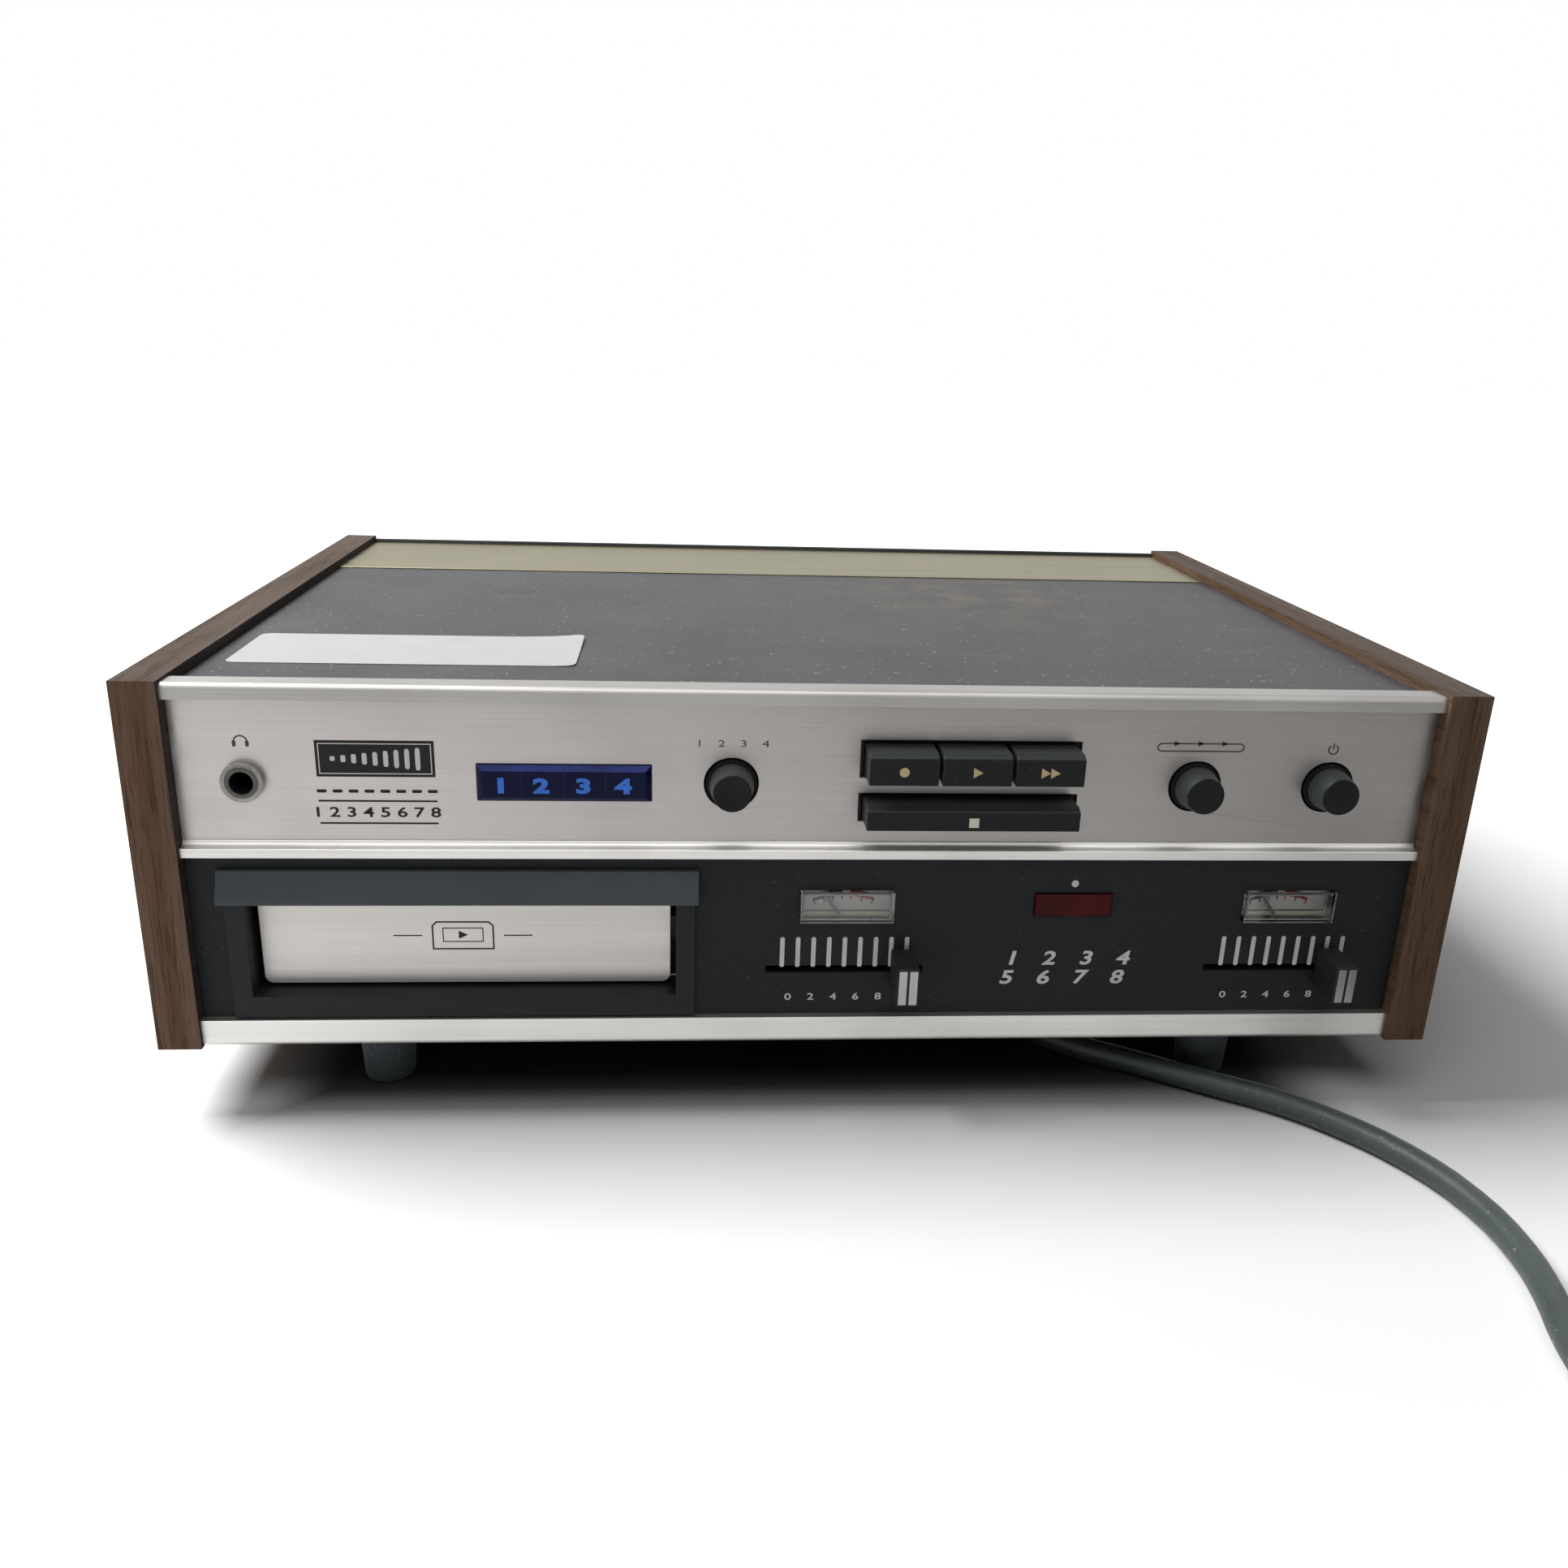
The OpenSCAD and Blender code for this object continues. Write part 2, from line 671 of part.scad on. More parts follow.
module cartridge_bezel() {
    rim_w = door_w + 2 * bezel_side;
    rim_front = lower_setback - bezel_t;
    hood_front = lower_setback - hood_reach;
    hood_z = tunnel_top_z + hood_lip_h;
    color("darkslategray") difference() {
        union() {
            block([bay_x - rim_w / 2 + rim_inset, rim_front, bezel_bottom_z],
                [bay_x + rim_w / 2 - rim_inset, lower_setback, tunnel_top_z]);
            block([bay_x - rim_w / 2, rim_front, tunnel_top_z],
                [bay_x + rim_w / 2, lower_setback, bezel_top_z]);
            block([bay_x - tunnel_outer_w / 2, lower_setback, bezel_ledge_z - tunnel_wall],
                [bay_x + tunnel_outer_w / 2, bezel_back, tunnel_top_z + tunnel_wall]);
            translate([bay_x - rim_w / 2, 0, 0]) rotate([90, 0, 90]) linear_extrude(rim_w)
                polygon([[rim_front + 0.5, tunnel_top_z], [hood_front, tunnel_top_z],
                    [hood_front, hood_z], [rim_front, bezel_top_z], [rim_front + 0.5, bezel_top_z]]);
        }
        block([bay_x - tunnel_inner_w / 2, hood_front - 1, bezel_ledge_z],
            [bay_x + tunnel_inner_w / 2, bezel_back + 1, tunnel_top_z]);
        block([bay_x - tunnel_inner_w / 2, lower_setback + 0.5, bezel_ledge_z],
            [bay_x + tunnel_inner_w / 2, bezel_back + 1, tunnel_roof_z]);
        rod_x(hinge_y, hinge_z, hinge_pin_r, bay_x - tunnel_outer_w / 2 + 1,
            bay_x + tunnel_outer_w / 2 - 1);
    }
}

module cartridge_door() {
    flap_w = door_w - 2 * door_flap_inset;
    flap_front = door_setback + door_face_t;
    flap_back = flap_front + door_flap_t;
    color("black") difference() {
        union() {
            plate_low_round(bay_x - flap_w / 2, bay_x + flap_w / 2, door_bottom_z + door_flap_inset,
                door_top_z, door_corner_r, flap_front, flap_back);
            for (side = [-1, 1]) {
                x = bay_x + side * (flap_w / 2 - hinge_ear_w / 2);
                rod_x(hinge_y, hinge_z, hinge_ear_r, x - hinge_ear_w / 2, x + hinge_ear_w / 2);
                block([x - hinge_ear_w / 2, flap_front, door_top_z - 1],
                    [x + hinge_ear_w / 2, hinge_y + 1.2, hinge_z]);
            }
        }
        rod_x(hinge_y, hinge_z, hinge_pin_r + running_gap, bay_x - door_w, bay_x + door_w);
        block([bay_x - door_w, door_setback - 5, door_bottom_z - 5],
            [bay_x + door_w, flap_front, door_top_z + 5]);
    }
}

module door_face() {
    color("silver") plate_low_round(bay_x - door_w / 2, bay_x + door_w / 2, door_bottom_z,
        door_top_z, door_corner_r, door_setback, door_setback + door_face_t);
}

module door_hinge_pin() {
    color("silver") rod_x(hinge_y, hinge_z, hinge_pin_r, bay_x - tunnel_outer_w / 2 + 1,
        bay_x + tunnel_outer_w / 2 - 1);
}

module cartridge_tray() {
    left = bay_x - tray_inner_w / 2;
    right = bay_x + tray_inner_w / 2;
    guide_in = cartridge_w / 2 + cartridge_play;
    color("gray") union() {
        block([left - tray_wall, tray_front, tray_floor_z - tray_wall],
            [right + tray_wall, tray_back, tray_floor_z]);
        for (x = [left - tray_wall, right])
            block([x, tray_front, tray_floor_z - tray_wall], [x + tray_wall, tray_back, deck_z]);
        block([left, guide_front, tray_floor_z],
            [bay_x - guide_in, cartridge_end, tray_floor_z + guide_h]);
        block([bay_x + guide_in, guide_front, tray_floor_z],
            [right, cartridge_end, tray_floor_z + guide_h]);
        for (x = [left + 2, right - 2 - tray_leg], y = [tray_front + 6, tray_back - 26])
            block([x, y, sheet_t], [x + tray_leg, y + tray_leg, tray_floor_z - tray_wall]);
    }
}

// ---------- jack, window and lamps ----------

module phones_jack() {
    mouth = fascia_setback - jack_nut_t - 0.3;
    bore_end = mouth + jack_bore_l;
    color("silver") difference() {
        union() {
            rod_y(jack_x, control_z, jack_bush_r, mouth, fascia_back);
            rod_y(jack_x, control_z, jack_nut_r, fascia_setback - jack_nut_t, fascia_setback);
            block([jack_x - jack_body / 2, fascia_back, control_z - jack_body / 2],
                [jack_x + jack_body / 2, bore_end + 2, control_z + jack_body / 2]);
        }
        rod_y(jack_x, control_z, jack_bore_r, mouth - 1, bore_end);
    }
}

// a lens that fills a cut-out w by h and stands out with chamfered edges
module lens(x, z, w, h, face_y, panel_back, reach, chamfer) {
    front = face_y - reach;
    union() {
        intersection() {
            translate([x, 0, z - h]) linear_extrude(2 * h)
                polygon([[-w / 2, panel_back], [-w / 2, front + chamfer], [-w / 2 + chamfer, front],
                    [w / 2 - chamfer, front], [w / 2, front + chamfer], [w / 2, panel_back]]);
            translate([x - w, 0, z]) rotate([90, 0, 90]) linear_extrude(2 * w)
                polygon([[panel_back, -h / 2], [front + chamfer, -h / 2], [front, -h / 2 + chamfer],
                    [front, h / 2 - chamfer], [front + chamfer, h / 2], [panel_back, h / 2]]);
        }
        block([x - w / 2 - 1, panel_back, z - h / 2 - 1],
            [x + w / 2 + 1, panel_back + lens_flange_t, z + h / 2 + 1]);
    }
}

module program_window() {
    color("navy") lens(window_x, control_z, window_w, window_h, fascia_setback, fascia_back,
        window_reach, window_chamfer);
}

module record_lamp_lens() {
    color("darkred") lens(lamp_x, lamp_z, lamp_w, lamp_h, lower_setback, lower_back,
        lamp_reach, lamp_reach / 2);
}

// a box open at the front with walls between its cells, and a hole for a bulb in each
module lamp_holder(x, z, w, h, front, cells) {
    cell_w = (w + 2) / cells;
    difference() {
        block([x - w / 2 - 1 - holder_wall, front, z - h / 2 - 1 - holder_wall],
            [x + w / 2 + 1 + holder_wall, front + holder_depth, z + h / 2 + 1 + holder_wall]);
        for (i = [0 : cells - 1]) {
            left = x - w / 2 - 1 + i * cell_w;
            block([left + holder_wall / 2, front - 1, z - h / 2],
                [left + cell_w - holder_wall / 2, front + holder_depth - 4, z + h / 2]);
            rod_y(left + cell_w / 2, z, bulb_r, front, front + holder_depth + 1);
        }
    }
}

module lamp_holders() {
    color("white") {
        lamp_holder(window_x, control_z, window_w, window_h, fascia_back + lens_flange_t, 4);
        lamp_holder(lamp_x, lamp_z, lamp_w, lamp_h, lower_back + lens_flange_t, 1);
    }
}

module bulb(x, z, back) {
    union() {
        rod_y(x, z, bulb_r, back - bulb_l + bulb_r, back);
        translate([x, back - bulb_l + bulb_r, z]) sphere(bulb_r);
    }
}

module indicator_lamps() {
    cell_w = (window_w + 2) / 4;
    color("ivory") {
        for (i = [0 : 3])
            bulb(window_x - window_w / 2 - 1 + (i + 0.5) * cell_w, control_z,
                fascia_back + lens_flange_t + holder_depth);
        bulb(lamp_x, lamp_z, lower_back + lens_flange_t + holder_depth);
    }
}

// ---------- buttons and keys ----------

module button(x) {
    color("darkslategray") union() {
        cone_y(x, control_z, button_tip_r, button_r, fascia_setback - button_reach,
            fascia_setback);
        rod_y(x, control_z, button_r, fascia_setback, button_skirt_back);
        rod_y(x, control_z, button_stem_r, button_skirt_back, button_stem_back);
    }
}

module selector_button() { button(selector_x); }

module continuous_button() { button(continuous_x); }

module power_button() { button(power_x); }

module push_switches() {
    color("wheat") for (x = [selector_x, continuous_x, power_x]) difference() {
        block([x - switch_size / 2, fascia_back, control_z - switch_size / 2],
            [x + switch_size / 2, switch_back, control_z + switch_size / 2]);
        rod_y(x, control_z, button_hole_r, fascia_back - 1, button_skirt_back + button_travel + 1);
        rod_y(x, control_z, button_stem_r + running_gap, fascia_back, switch_back - 2);
    }
}

// a key w wide and h high, its lower edge at z, its front edge bevelled at the top
module key(x, z, w, h) {
    stem_end = fascia_back + key_frame_depth + 6;
    color("black") union() {
        translate([x - w / 2, 0, 0]) rotate([90, 0, 90]) linear_extrude(w)
            polygon([[-key_reach, z], [key_head_back, z], [key_head_back, z + h],
                [-key_reach + 2 * key_bevel, z + h], [-key_reach, z + h - key_bevel]]);
        block([x - key_stem[0] / 2, key_head_back, z + (h - key_stem[1]) / 2],
            [x + key_stem[0] / 2, stem_end, z + (h + key_stem[1]) / 2]);
    }
}

module record_key() { key(key_x(0), key_bottom_z, key_w, key_h); }

module play_key() { key(key_x(1), key_bottom_z, key_w, key_h); }

module fast_forward_key() { key(key_x(2), key_bottom_z, key_w, key_h); }

module stop_key() { key(keys_x, stop_bottom_z, key_row_w, stop_key_h); }

module key_frame() {
    half_w = key_row_w / 2 + key_cut_margin + 3;
    low = stop_bottom_z - 3;
    high = key_bottom_z + key_h + 3;
    back = fascia_back + key_frame_depth;
    color("lightsteelblue") difference() {
        block([keys_x - half_w, fascia_back, low], [keys_x + half_w, back, high]);
        block([keys_x - half_w + key_frame_t, fascia_back + key_frame_t, low - 1],
            [keys_x + half_w - key_frame_t, back - key_frame_t, high + 1]);
        block([keys_x - key_row_w / 2 - gap, fascia_back - 1, key_bottom_z - gap],
            [keys_x + key_row_w / 2 + gap, fascia_back + 2 * key_frame_t,
                key_bottom_z + key_h + gap]);
        block([keys_x - key_row_w / 2 - gap, fascia_back - 1, stop_bottom_z - gap],
            [keys_x + key_row_w / 2 + gap, fascia_back + 2 * key_frame_t,
                stop_bottom_z + stop_key_h + gap]);
        for (p = [[key_x(0), key_bottom_z + key_h / 2], [key_x(1), key_bottom_z + key_h / 2],
                [key_x(2), key_bottom_z + key_h / 2], [keys_x, stop_bottom_z + stop_key_h / 2]])
            block([p[0] - key_stem[0] / 2 - gap, back - 2 * key_frame_t, p[1] - key_stem[1] / 2 - gap],
                [p[0] + key_stem[0] / 2 + gap, back + 1, p[1] + key_stem[1] / 2 + gap]);
    }
}

// ---------- sliders and meters ----------

module slider(x) {
    knob_back = lower_setback - knob_front_gap;
    top = slot_z + knob_top_over;
    color("black") union() {
        block([x - knob_w / 2, -knob_reach, top - knob_h], [x + knob_w / 2, knob_back, top]);
        block([x - stem_w / 2, knob_back, slot_z - stem_h / 2],
            [x + stem_w / 2, stem_back, slot_z + stem_h / 2]);
    }
}

module left_slider() { slider(left_x + left_rest); }

module right_slider() { slider(right_x + right_rest); }

module faders() {
    color("tan") for (x = [left_x, right_x]) difference() {
        block([x - slot_w / 2 - fader_end, lower_back, slot_z - fader_h / 2],
            [x + slot_w / 2 + fader_end, lower_back + fader_d, slot_z + fader_h / 2]);
        block([x - slot_w / 2, lower_back - 1, slot_z - slot_h / 2],
            [x + slot_w / 2, stem_back + 2, slot_z + slot_h / 2]);
    }
}

needle_y = scale_y - 1.8;
drum_y = scale_y + 1.2;
needle_back = drum_y + coil_drum_l + 6;
needle_z = meter_z - needle_pivot_drop;

module meter_cases() {
    top = meter_z + meter_h / 2 + 2;
    color("whitesmoke") for (x = [left_x, right_x]) difference() {
        block([x - meter_case[0] / 2, lower_back, top - meter_case[1]],
            [x + meter_case[0] / 2, lower_back + meter_case[2], top]);
        block([x - meter_case[0] / 2 + meter_wall, lower_back - 1, top - meter_case[1] + meter_wall],
            [x + meter_case[0] / 2 - meter_wall, scale_y, top - meter_wall]);
        rod_y(x, needle_z, coil_drum_r + 0.8, scale_y - 1, drum_y + coil_drum_l + 0.8);
        rod_y(x, needle_z, needle_shaft_r + running_gap, lower_back, needle_back + 0.5);
    }
}

module meter_lenses() {
    wall = 1;
    color("lightgray") for (x = [left_x, right_x]) difference() {
        block([x - meter_w / 2, lower_setback - meter_reach, meter_z - meter_h / 2],
            [x + meter_w / 2, lower_back, meter_z + meter_h / 2]);
        block([x - meter_w / 2 + wall, lower_setback - meter_reach + wall, meter_z - meter_h / 2 + wall],
            [x + meter_w / 2 - wall, lower_back + 1, meter_z + meter_h / 2 - wall]);
    }
}

module meter_needle(x) {
    color("black") translate([x, needle_y, needle_z]) rotate([0, -needle_swing / 2, 0]) union() {
        rod_y(0, 0, coil_drum_r, drum_y - needle_y, drum_y - needle_y + coil_drum_l);
        rod_y(0, 0, needle_shaft_r, 0, needle_back - needle_y);
        translate([-needle_r, 0, 0]) cube([2 * needle_r, 2 * needle_r, needle_l]);
    }
}

module left_meter_needle() { meter_needle(left_x); }

module right_meter_needle() { meter_needle(right_x); }

// ---------- tape drive ----------

module deck_plate() {
    color("lightsteelblue") difference() {
        union() {
            block([deck_left, deck_front, deck_z], [deck_right, deck_back, deck_z + deck_t]);
            for (p = deck_posts)
                translate([p[0], p[1], sheet_t]) cylinder(r = deck_post_r, h = deck_z - sheet_t);
            for (side = [-1, 1])
                translate([head_x + side * guide_post_dx, guide_post_y, guide_post_z])
                    cylinder(r = guide_post_r, h = deck_z - guide_post_z);
        }
        translate([capstan_x, capstan_y, deck_z - 1]) cylinder(r = bush_r, h = deck_t + 2);
        translate([motor_x, motor_y, deck_z - 1]) cylinder(r = motor_shaft_r + 2, h = deck_t + 2);
    }
}

module capstan_bush() {
    color("goldenrod") translate([capstan_x, capstan_y, 0]) difference() {
        union() {
            translate([0, 0, bush_bottom]) cylinder(r = bush_r, h = bush_top - bush_bottom);
            translate([0, 0, deck_z + deck_t]) cylinder(r = bush_flange_r, h = 1.4);
        }
        translate([0, 0, bush_bottom - 1])
            cylinder(r = capstan_r + running_gap, h = bush_top - bush_bottom + 2);
    }
}

module flywheel() {
    top = flywheel_z + flywheel_h;
    web = 3;
    color("slategray") translate([capstan_x, capstan_y, 0]) union() {
        difference() {
            translate([0, 0, flywheel_z]) cylinder(r = flywheel_r, h = flywheel_h, $fn = 96);
            for (z = [flywheel_z - 1, flywheel_z + (flywheel_h + web) / 2])
                translate([0, 0, z]) difference() {
                    cylinder(r = flywheel_r - 6, h = (flywheel_h - web) / 2 + 1);
                    translate([0, 0, -1]) cylinder(r = hub_r, h = flywheel_h);
                }
        }
        translate([0, 0, bush_top + gap]) cylinder(r = hub_r - 2, h = flywheel_z - bush_top - gap + 1);
        translate([0, 0, capstan_bottom]) cylinder(r = capstan_r, h = top + 2 - capstan_bottom);
    }
}

module motor() {
    color("silver") translate([motor_x, motor_y, 0]) difference() {
        union() {
            translate([0, 0, motor_bottom]) cylinder(r = motor_r, h = deck_z - 2 - motor_bottom);
            translate([0, 0, deck_z - 3]) cylinder(r = motor_boss_r, h = 3);
        }
        translate([0, 0, deck_z - 22]) cylinder(r = motor_shaft_r + running_gap, h = 23);
    }
}

module motor_pulley() {
    flange = 1;
    color("goldenrod") translate([motor_x, motor_y, 0]) union() {
        translate([0, 0, pulley_z]) cylinder(r = pulley_r, h = pulley_h);
        for (z = [pulley_z, pulley_z + pulley_h - flange])
            translate([0, 0, z]) cylinder(r = pulley_r + 1.5, h = flange);
        translate([0, 0, deck_z - 20])
            cylinder(r = motor_shaft_r, h = pulley_z + pulley_h + 2 - deck_z + 20);
    }
}

// the outline of a belt round two wheels: an arc on each, joined by their tangents
module belt_outline(r_big, r_small, at_small) {
    dir = atan2(at_small[1], at_small[0]);
    lean = acos((r_big - r_small) / norm(at_small));
    steps = 60;
    polygon([
        for (i = [0 : steps]) let (a = dir + lean + i * (360 - 2 * lean) / steps)
            r_big * [cos(a), sin(a)],
        for (i = [0 : steps / 3]) let (a = dir - lean + i * 2 * lean / (steps / 3))
            at_small + r_small * [cos(a), sin(a)]
    ]);
}

module drive_belt() {
    to_motor = [motor_x - capstan_x, motor_y - capstan_y];
    color("black") translate([capstan_x, capstan_y, belt_z]) linear_extrude(belt_w) difference() {
        belt_outline(flywheel_r + gap + belt_t, pulley_r + gap + belt_t, to_motor);
        belt_outline(flywheel_r + gap, pulley_r + gap, to_motor);
    }
}

// ---------- tape head and program change ----------

module head_carriage() {
    foot_z = cam_z + cam_r + gap;
    low = head_z - 3;
    color("silver") difference() {
        union() {
            block([head_x - carriage_w / 2, carriage_y, low],
                [head_x + carriage_w / 2, carriage_y + carriage_t, low + carriage_h]);
            for (side = [-1, 1])
                translate([head_x + side * guide_post_dx, guide_post_y, low + carriage_h / 2])
                    cube([guide_block, guide_block + 1, carriage_h], center = true);
            block([head_x - 1, carriage_y + 1, foot_z], [head_x + 1, cam_y + cam_t - 1, low + 4]);
        }
        for (side = [-1, 1])
            translate([head_x + side * guide_post_dx, guide_post_y, low - 1])
                cylinder(r = guide_post_r + running_gap, h = carriage_h + 2);
    }
}

module tape_head() {
    color("gainsboro") union() {
        block([head_x - head_size[0] / 2, carriage_y - head_size[1] + 2, head_z],
            [head_x + head_size[0] / 2, carriage_y, head_z + head_size[2]]);
        intersection() {
            translate([head_x, carriage_y - head_size[1] + 10, head_z])
                cylinder(r = 10, h = head_size[2]);
            block([head_x - 5, carriage_y - head_size[1], head_z],
                [head_x + 5, carriage_y - head_size[1] + 3, head_z + head_size[2]]);
        }
    }
}

// a snail cam whose radius grows steadily, a ratchet wheel and their shaft
module program_cam() {
    steps = 45;
    rate = head_travel / cam_turn;
    color("ivory") translate([head_x, cam_y, cam_z]) rotate([-90, 0, 0]) union() {
        linear_extrude(cam_t) polygon([for (i = [0 : steps])
            let (a = i * cam_turn / steps) (cam_r + rate * a) * [cos(a - 90), sin(a - 90)]]);
        translate([0, 0, cam_t]) linear_extrude(ratchet_t) polygon([for (i = [0 : ratchet_teeth - 1],
            k = [0, 1]) let (a = (i + 0.85 * k) * 360 / ratchet_teeth)
            (ratchet_r - 1.4 * (1 - k)) * [cos(a), sin(a)]]);
        cylinder(r = cam_shaft_r, h = cam_bracket_y + cam_bracket_t + 2 - cam_y);
    }
}

module cam_bracket() {
    half = 7;
    color("gray") difference() {
        block([head_x - half, cam_bracket_y, sheet_t],
            [head_x + half, cam_bracket_y + cam_bracket_t, cam_z + 6]);
        rod_y(head_x, cam_z, cam_shaft_r + running_gap, cam_bracket_y - 1,
            cam_bracket_y + cam_bracket_t + 1);
    }
}

module solenoid() {
    color("peru") difference() {
        block([solenoid_x, plunger_y - solenoid_size[1] / 2, sheet_t],
            [solenoid_x + solenoid_size[0], plunger_y + solenoid_size[1] / 2,
                sheet_t + solenoid_size[2]]);
        rod_x(plunger_y, plunger_z, plunger_r + running_gap, solenoid_x - 1,
            solenoid_x + solenoid_size[0] - 2);
    }
}

module solenoid_plunger() {
    inside = solenoid_size[0] - 2 - plunger_travel - 1;
    color("silver") union() {
        rod_x(plunger_y, plunger_z, plunger_r, solenoid_x - 5.5, solenoid_x + inside);
        block([head_x + ratchet_r + gap, plunger_y - 1, plunger_z - 2],
            [solenoid_x - 5, plunger_y + 1, plunger_z + 2]);
    }
}

// ---------- electronics and rear ----------

module power_transformer() {
    x = transformer_place[0];
    y = transformer_place[1];
    w = transformer[0];
    d = transformer[1];
    h = transformer[2];
    limb = transformer_limb;
    color("slategray") difference() {
        block([x - w / 2, y - d / 2, sheet_t], [x + w / 2, y + d / 2, sheet_t + h]);
        for (side = [-1, 1])
            block([x + side * w / 4 - limb / 2, y - d, sheet_t + limb],
                [x + side * w / 4 + limb / 2, y + d, sheet_t + h - limb]);
    }
}

module transformer_winding() {
    x = transformer_place[0];
    y = transformer_place[1];
    d = transformer[1];
    outer = transformer[0] / 4 + transformer_limb / 2;
    inner = transformer[0] / 4 - transformer_limb / 2;
    color("peru") difference() {
        block([x - outer, y - d / 2 - winding_over, sheet_t + transformer_limb],
            [x + outer, y + d / 2 + winding_over, sheet_t + transformer[2] - transformer_limb]);
        block([x - inner, y - d / 2, sheet_t], [x + inner, y + d / 2, sheet_t + transformer[2]]);
    }
}

module circuit_board() {
    top = board_z + board_t;
    w = board_x[1] - board_x[0];
    d = board_y[1] - board_y[0];
    color("darkolivegreen") union() {
        block([board_x[0], board_y[0], board_z], [board_x[1], board_y[1], top]);
        for (x = [board_x[0] + 6, board_x[1] - 6], y = [board_y[0] + 6, board_y[1] - 6])
            translate([x, y, sheet_t]) cylinder(r = standoff_r, h = board_z - sheet_t);
    }
    color("steelblue") for (i = [0 : 4])
        translate([board_x[0] + w * (i + 0.5) / 5, board_y[1] - 20, top])
            cylinder(r = 6 - i % 2, h = 22 - 3 * (i % 3));
    color("silver") for (i = [0 : 3])
        translate([board_x[0] + w * (i + 0.5) / 4, board_y[0] + d * 0.6, top])
            cube([14, 10, 12], center = false);
    color("dimgray") for (i = [0 : 5])
        translate([board_x[0] + w * (i + 0.5) / 6, board_y[0] + d * 0.35, top])
            cylinder(r = 4, h = 6);
}

module line_jacks() {
    color("gold") for (i = [-0.5, 0.5], k = [-0.5, 0.5]) {
        x = jack_group[0] + i * jack_pitch_x;
        z = jack_group[1] + k * jack_pitch_z;
        difference() {
            union() {
                rod_y(x, z, line_jack_r, rear_y - 10, rear_y + line_jack_l);
                rod_y(x, z, line_jack_flange_r, rear_y, rear_y + 1);
            }
            rod_y(x, z, line_jack_pin_r, rear_y - 8, rear_y + line_jack_l + 1);
        }
    }
}

// ---------- mains cord ----------

// a point on the cord in the case frame from one measured above the floor
function on_floor(p) = [p[0], p[1], p[2] - foot_h];

function unit(v) = v / norm(v);

// one ring of a tube round point i, square to the curve there
function ring(p, i, r, sides) =
    let (t = unit(p[min(i + 1, len(p) - 1)] - p[max(i - 1, 0)]), s = unit(cross(t, [0, 0, 1])),
        u = cross(s, t))
        [for (k = [0 : sides - 1]) p[i] + r * (cos(k * 360 / sides) * s + sin(k * 360 / sides) * u)];

// a closed tube along points, as triangles
module tube(p, r, sides) {
    n = len(p);
    polyhedron(points = [for (i = [0 : n - 1]) each ring(p, i, r, sides)],
        faces = [
            for (i = [0 : n - 2], k = [0 : sides - 1])
                let (a = i * sides + k, b = i * sides + (k + 1) % sides)
                    each [[a, a + sides, b], [b, a + sides, b + sides]],
            for (k = [1 : sides - 2])
                each [[0, k, k + 1], [(n - 1) * sides, (n - 1) * sides + k + 1, (n - 1) * sides + k]]
        ]);
}

// the coil: in along the lower layer, up in the half turn of the reversal, out along the upper
function coil_radius(t) = coil_inner_r + coil_pitch * abs(t - coil_turns / 2);
function coil_height(t) = coil_z + coil_layer * min(1, max(0, 2 * (t - coil_turns / 2) + 0.5));
function coil_point(t) = on_floor([coil_center[0] + coil_radius(t) * cos(360 * t - 90),
    coil_center[1] + coil_radius(t) * sin(360 * t - 90), coil_height(t)]);
coil_start = coil_point(0) - [cord_d, 0, 0];
coil_end = coil_point(coil_turns) + [0, cord_d, 0];
coil_steps = round(coil_turns * coil_rings);
coil_path = [coil_start, for (i = [0 : coil_steps]) coil_point(i * coil_turns / coil_steps), coil_end];

relief_end = [relief_x, relief_end_y, relief_z];
plug_direction = [-sin(plug_turn), cos(plug_turn), 0];
plug_back = [plug_place[0], plug_place[1], plug_size[2] / 2 - foot_h];
lead_path = [relief_end, relief_end + [0, cord_r, 0],
    for (p = concat(cord_rear, cord_under, cord_front, cord_unseen)) on_floor(p), coil_start];
tail_path = [coil_end, coil_end + [0, cord_r / 2, 0], for (p = cord_tail) on_floor(p),
    plug_back - cord_r / 2 * plug_direction, plug_back];

function path_length(p) = len(p) < 2 ? 0 :
    [for (i = [0 : len(p) - 2]) norm(p[i + 1] - p[i])] * [for (i = [0 : len(p) - 2]) 1];
coil_self_gap = min([for (i = [0 : coil_steps], j = [i + coil_rings / 2 : coil_steps])
    norm(coil_path[i + 1] - coil_path[j + 1])]) - cord_d;
echo(coil_self_gap = coil_self_gap, lead_mm = path_length(lead_path),  // power_cord_coil
        coil_mm = path_length(coil_path), tail_mm = path_length(tail_path));

module strain_relief() {
    color("black") union() {
        rod_y(relief_x, relief_z, relief_hole_r, rear_y - sheet_t - 3, rear_y);
        rod_y(relief_x, relief_z, relief_flange_r, rear_y, rear_y + 2);
        cone_y(relief_x, relief_z, relief_hole_r, cord_r + 0.8, rear_y + 2, relief_end_y);
    }
}

module power_cord() {
    color("darkslategray") {
        tube(lead_path, cord_r, 8);
        tube(tail_path, cord_r, 8);
    }
}

module power_cord_coil() {
    color("darkslategray") tube(coil_path, cord_r, 6);
}

module power_plug() {
    w = plug_size[0];
    l = plug_size[1];
    h = plug_size[2];
    neck = 10;
    color("darkslategray") translate(plug_back) rotate([0, 0, plug_turn]) union() {
        translate([0, 0, -h / 2]) linear_extrude(h)
            polygon([[-w / 4, 0], [w / 4, 0], [w / 2, neck], [w / 2, l], [-w / 2, l], [-w / 2, neck]]);
        for (side = [-1, 1])
            rod_y(side * plug_pin_pitch / 2, 0, plug_pin_r, l, l + plug_pin_l);
    }
}

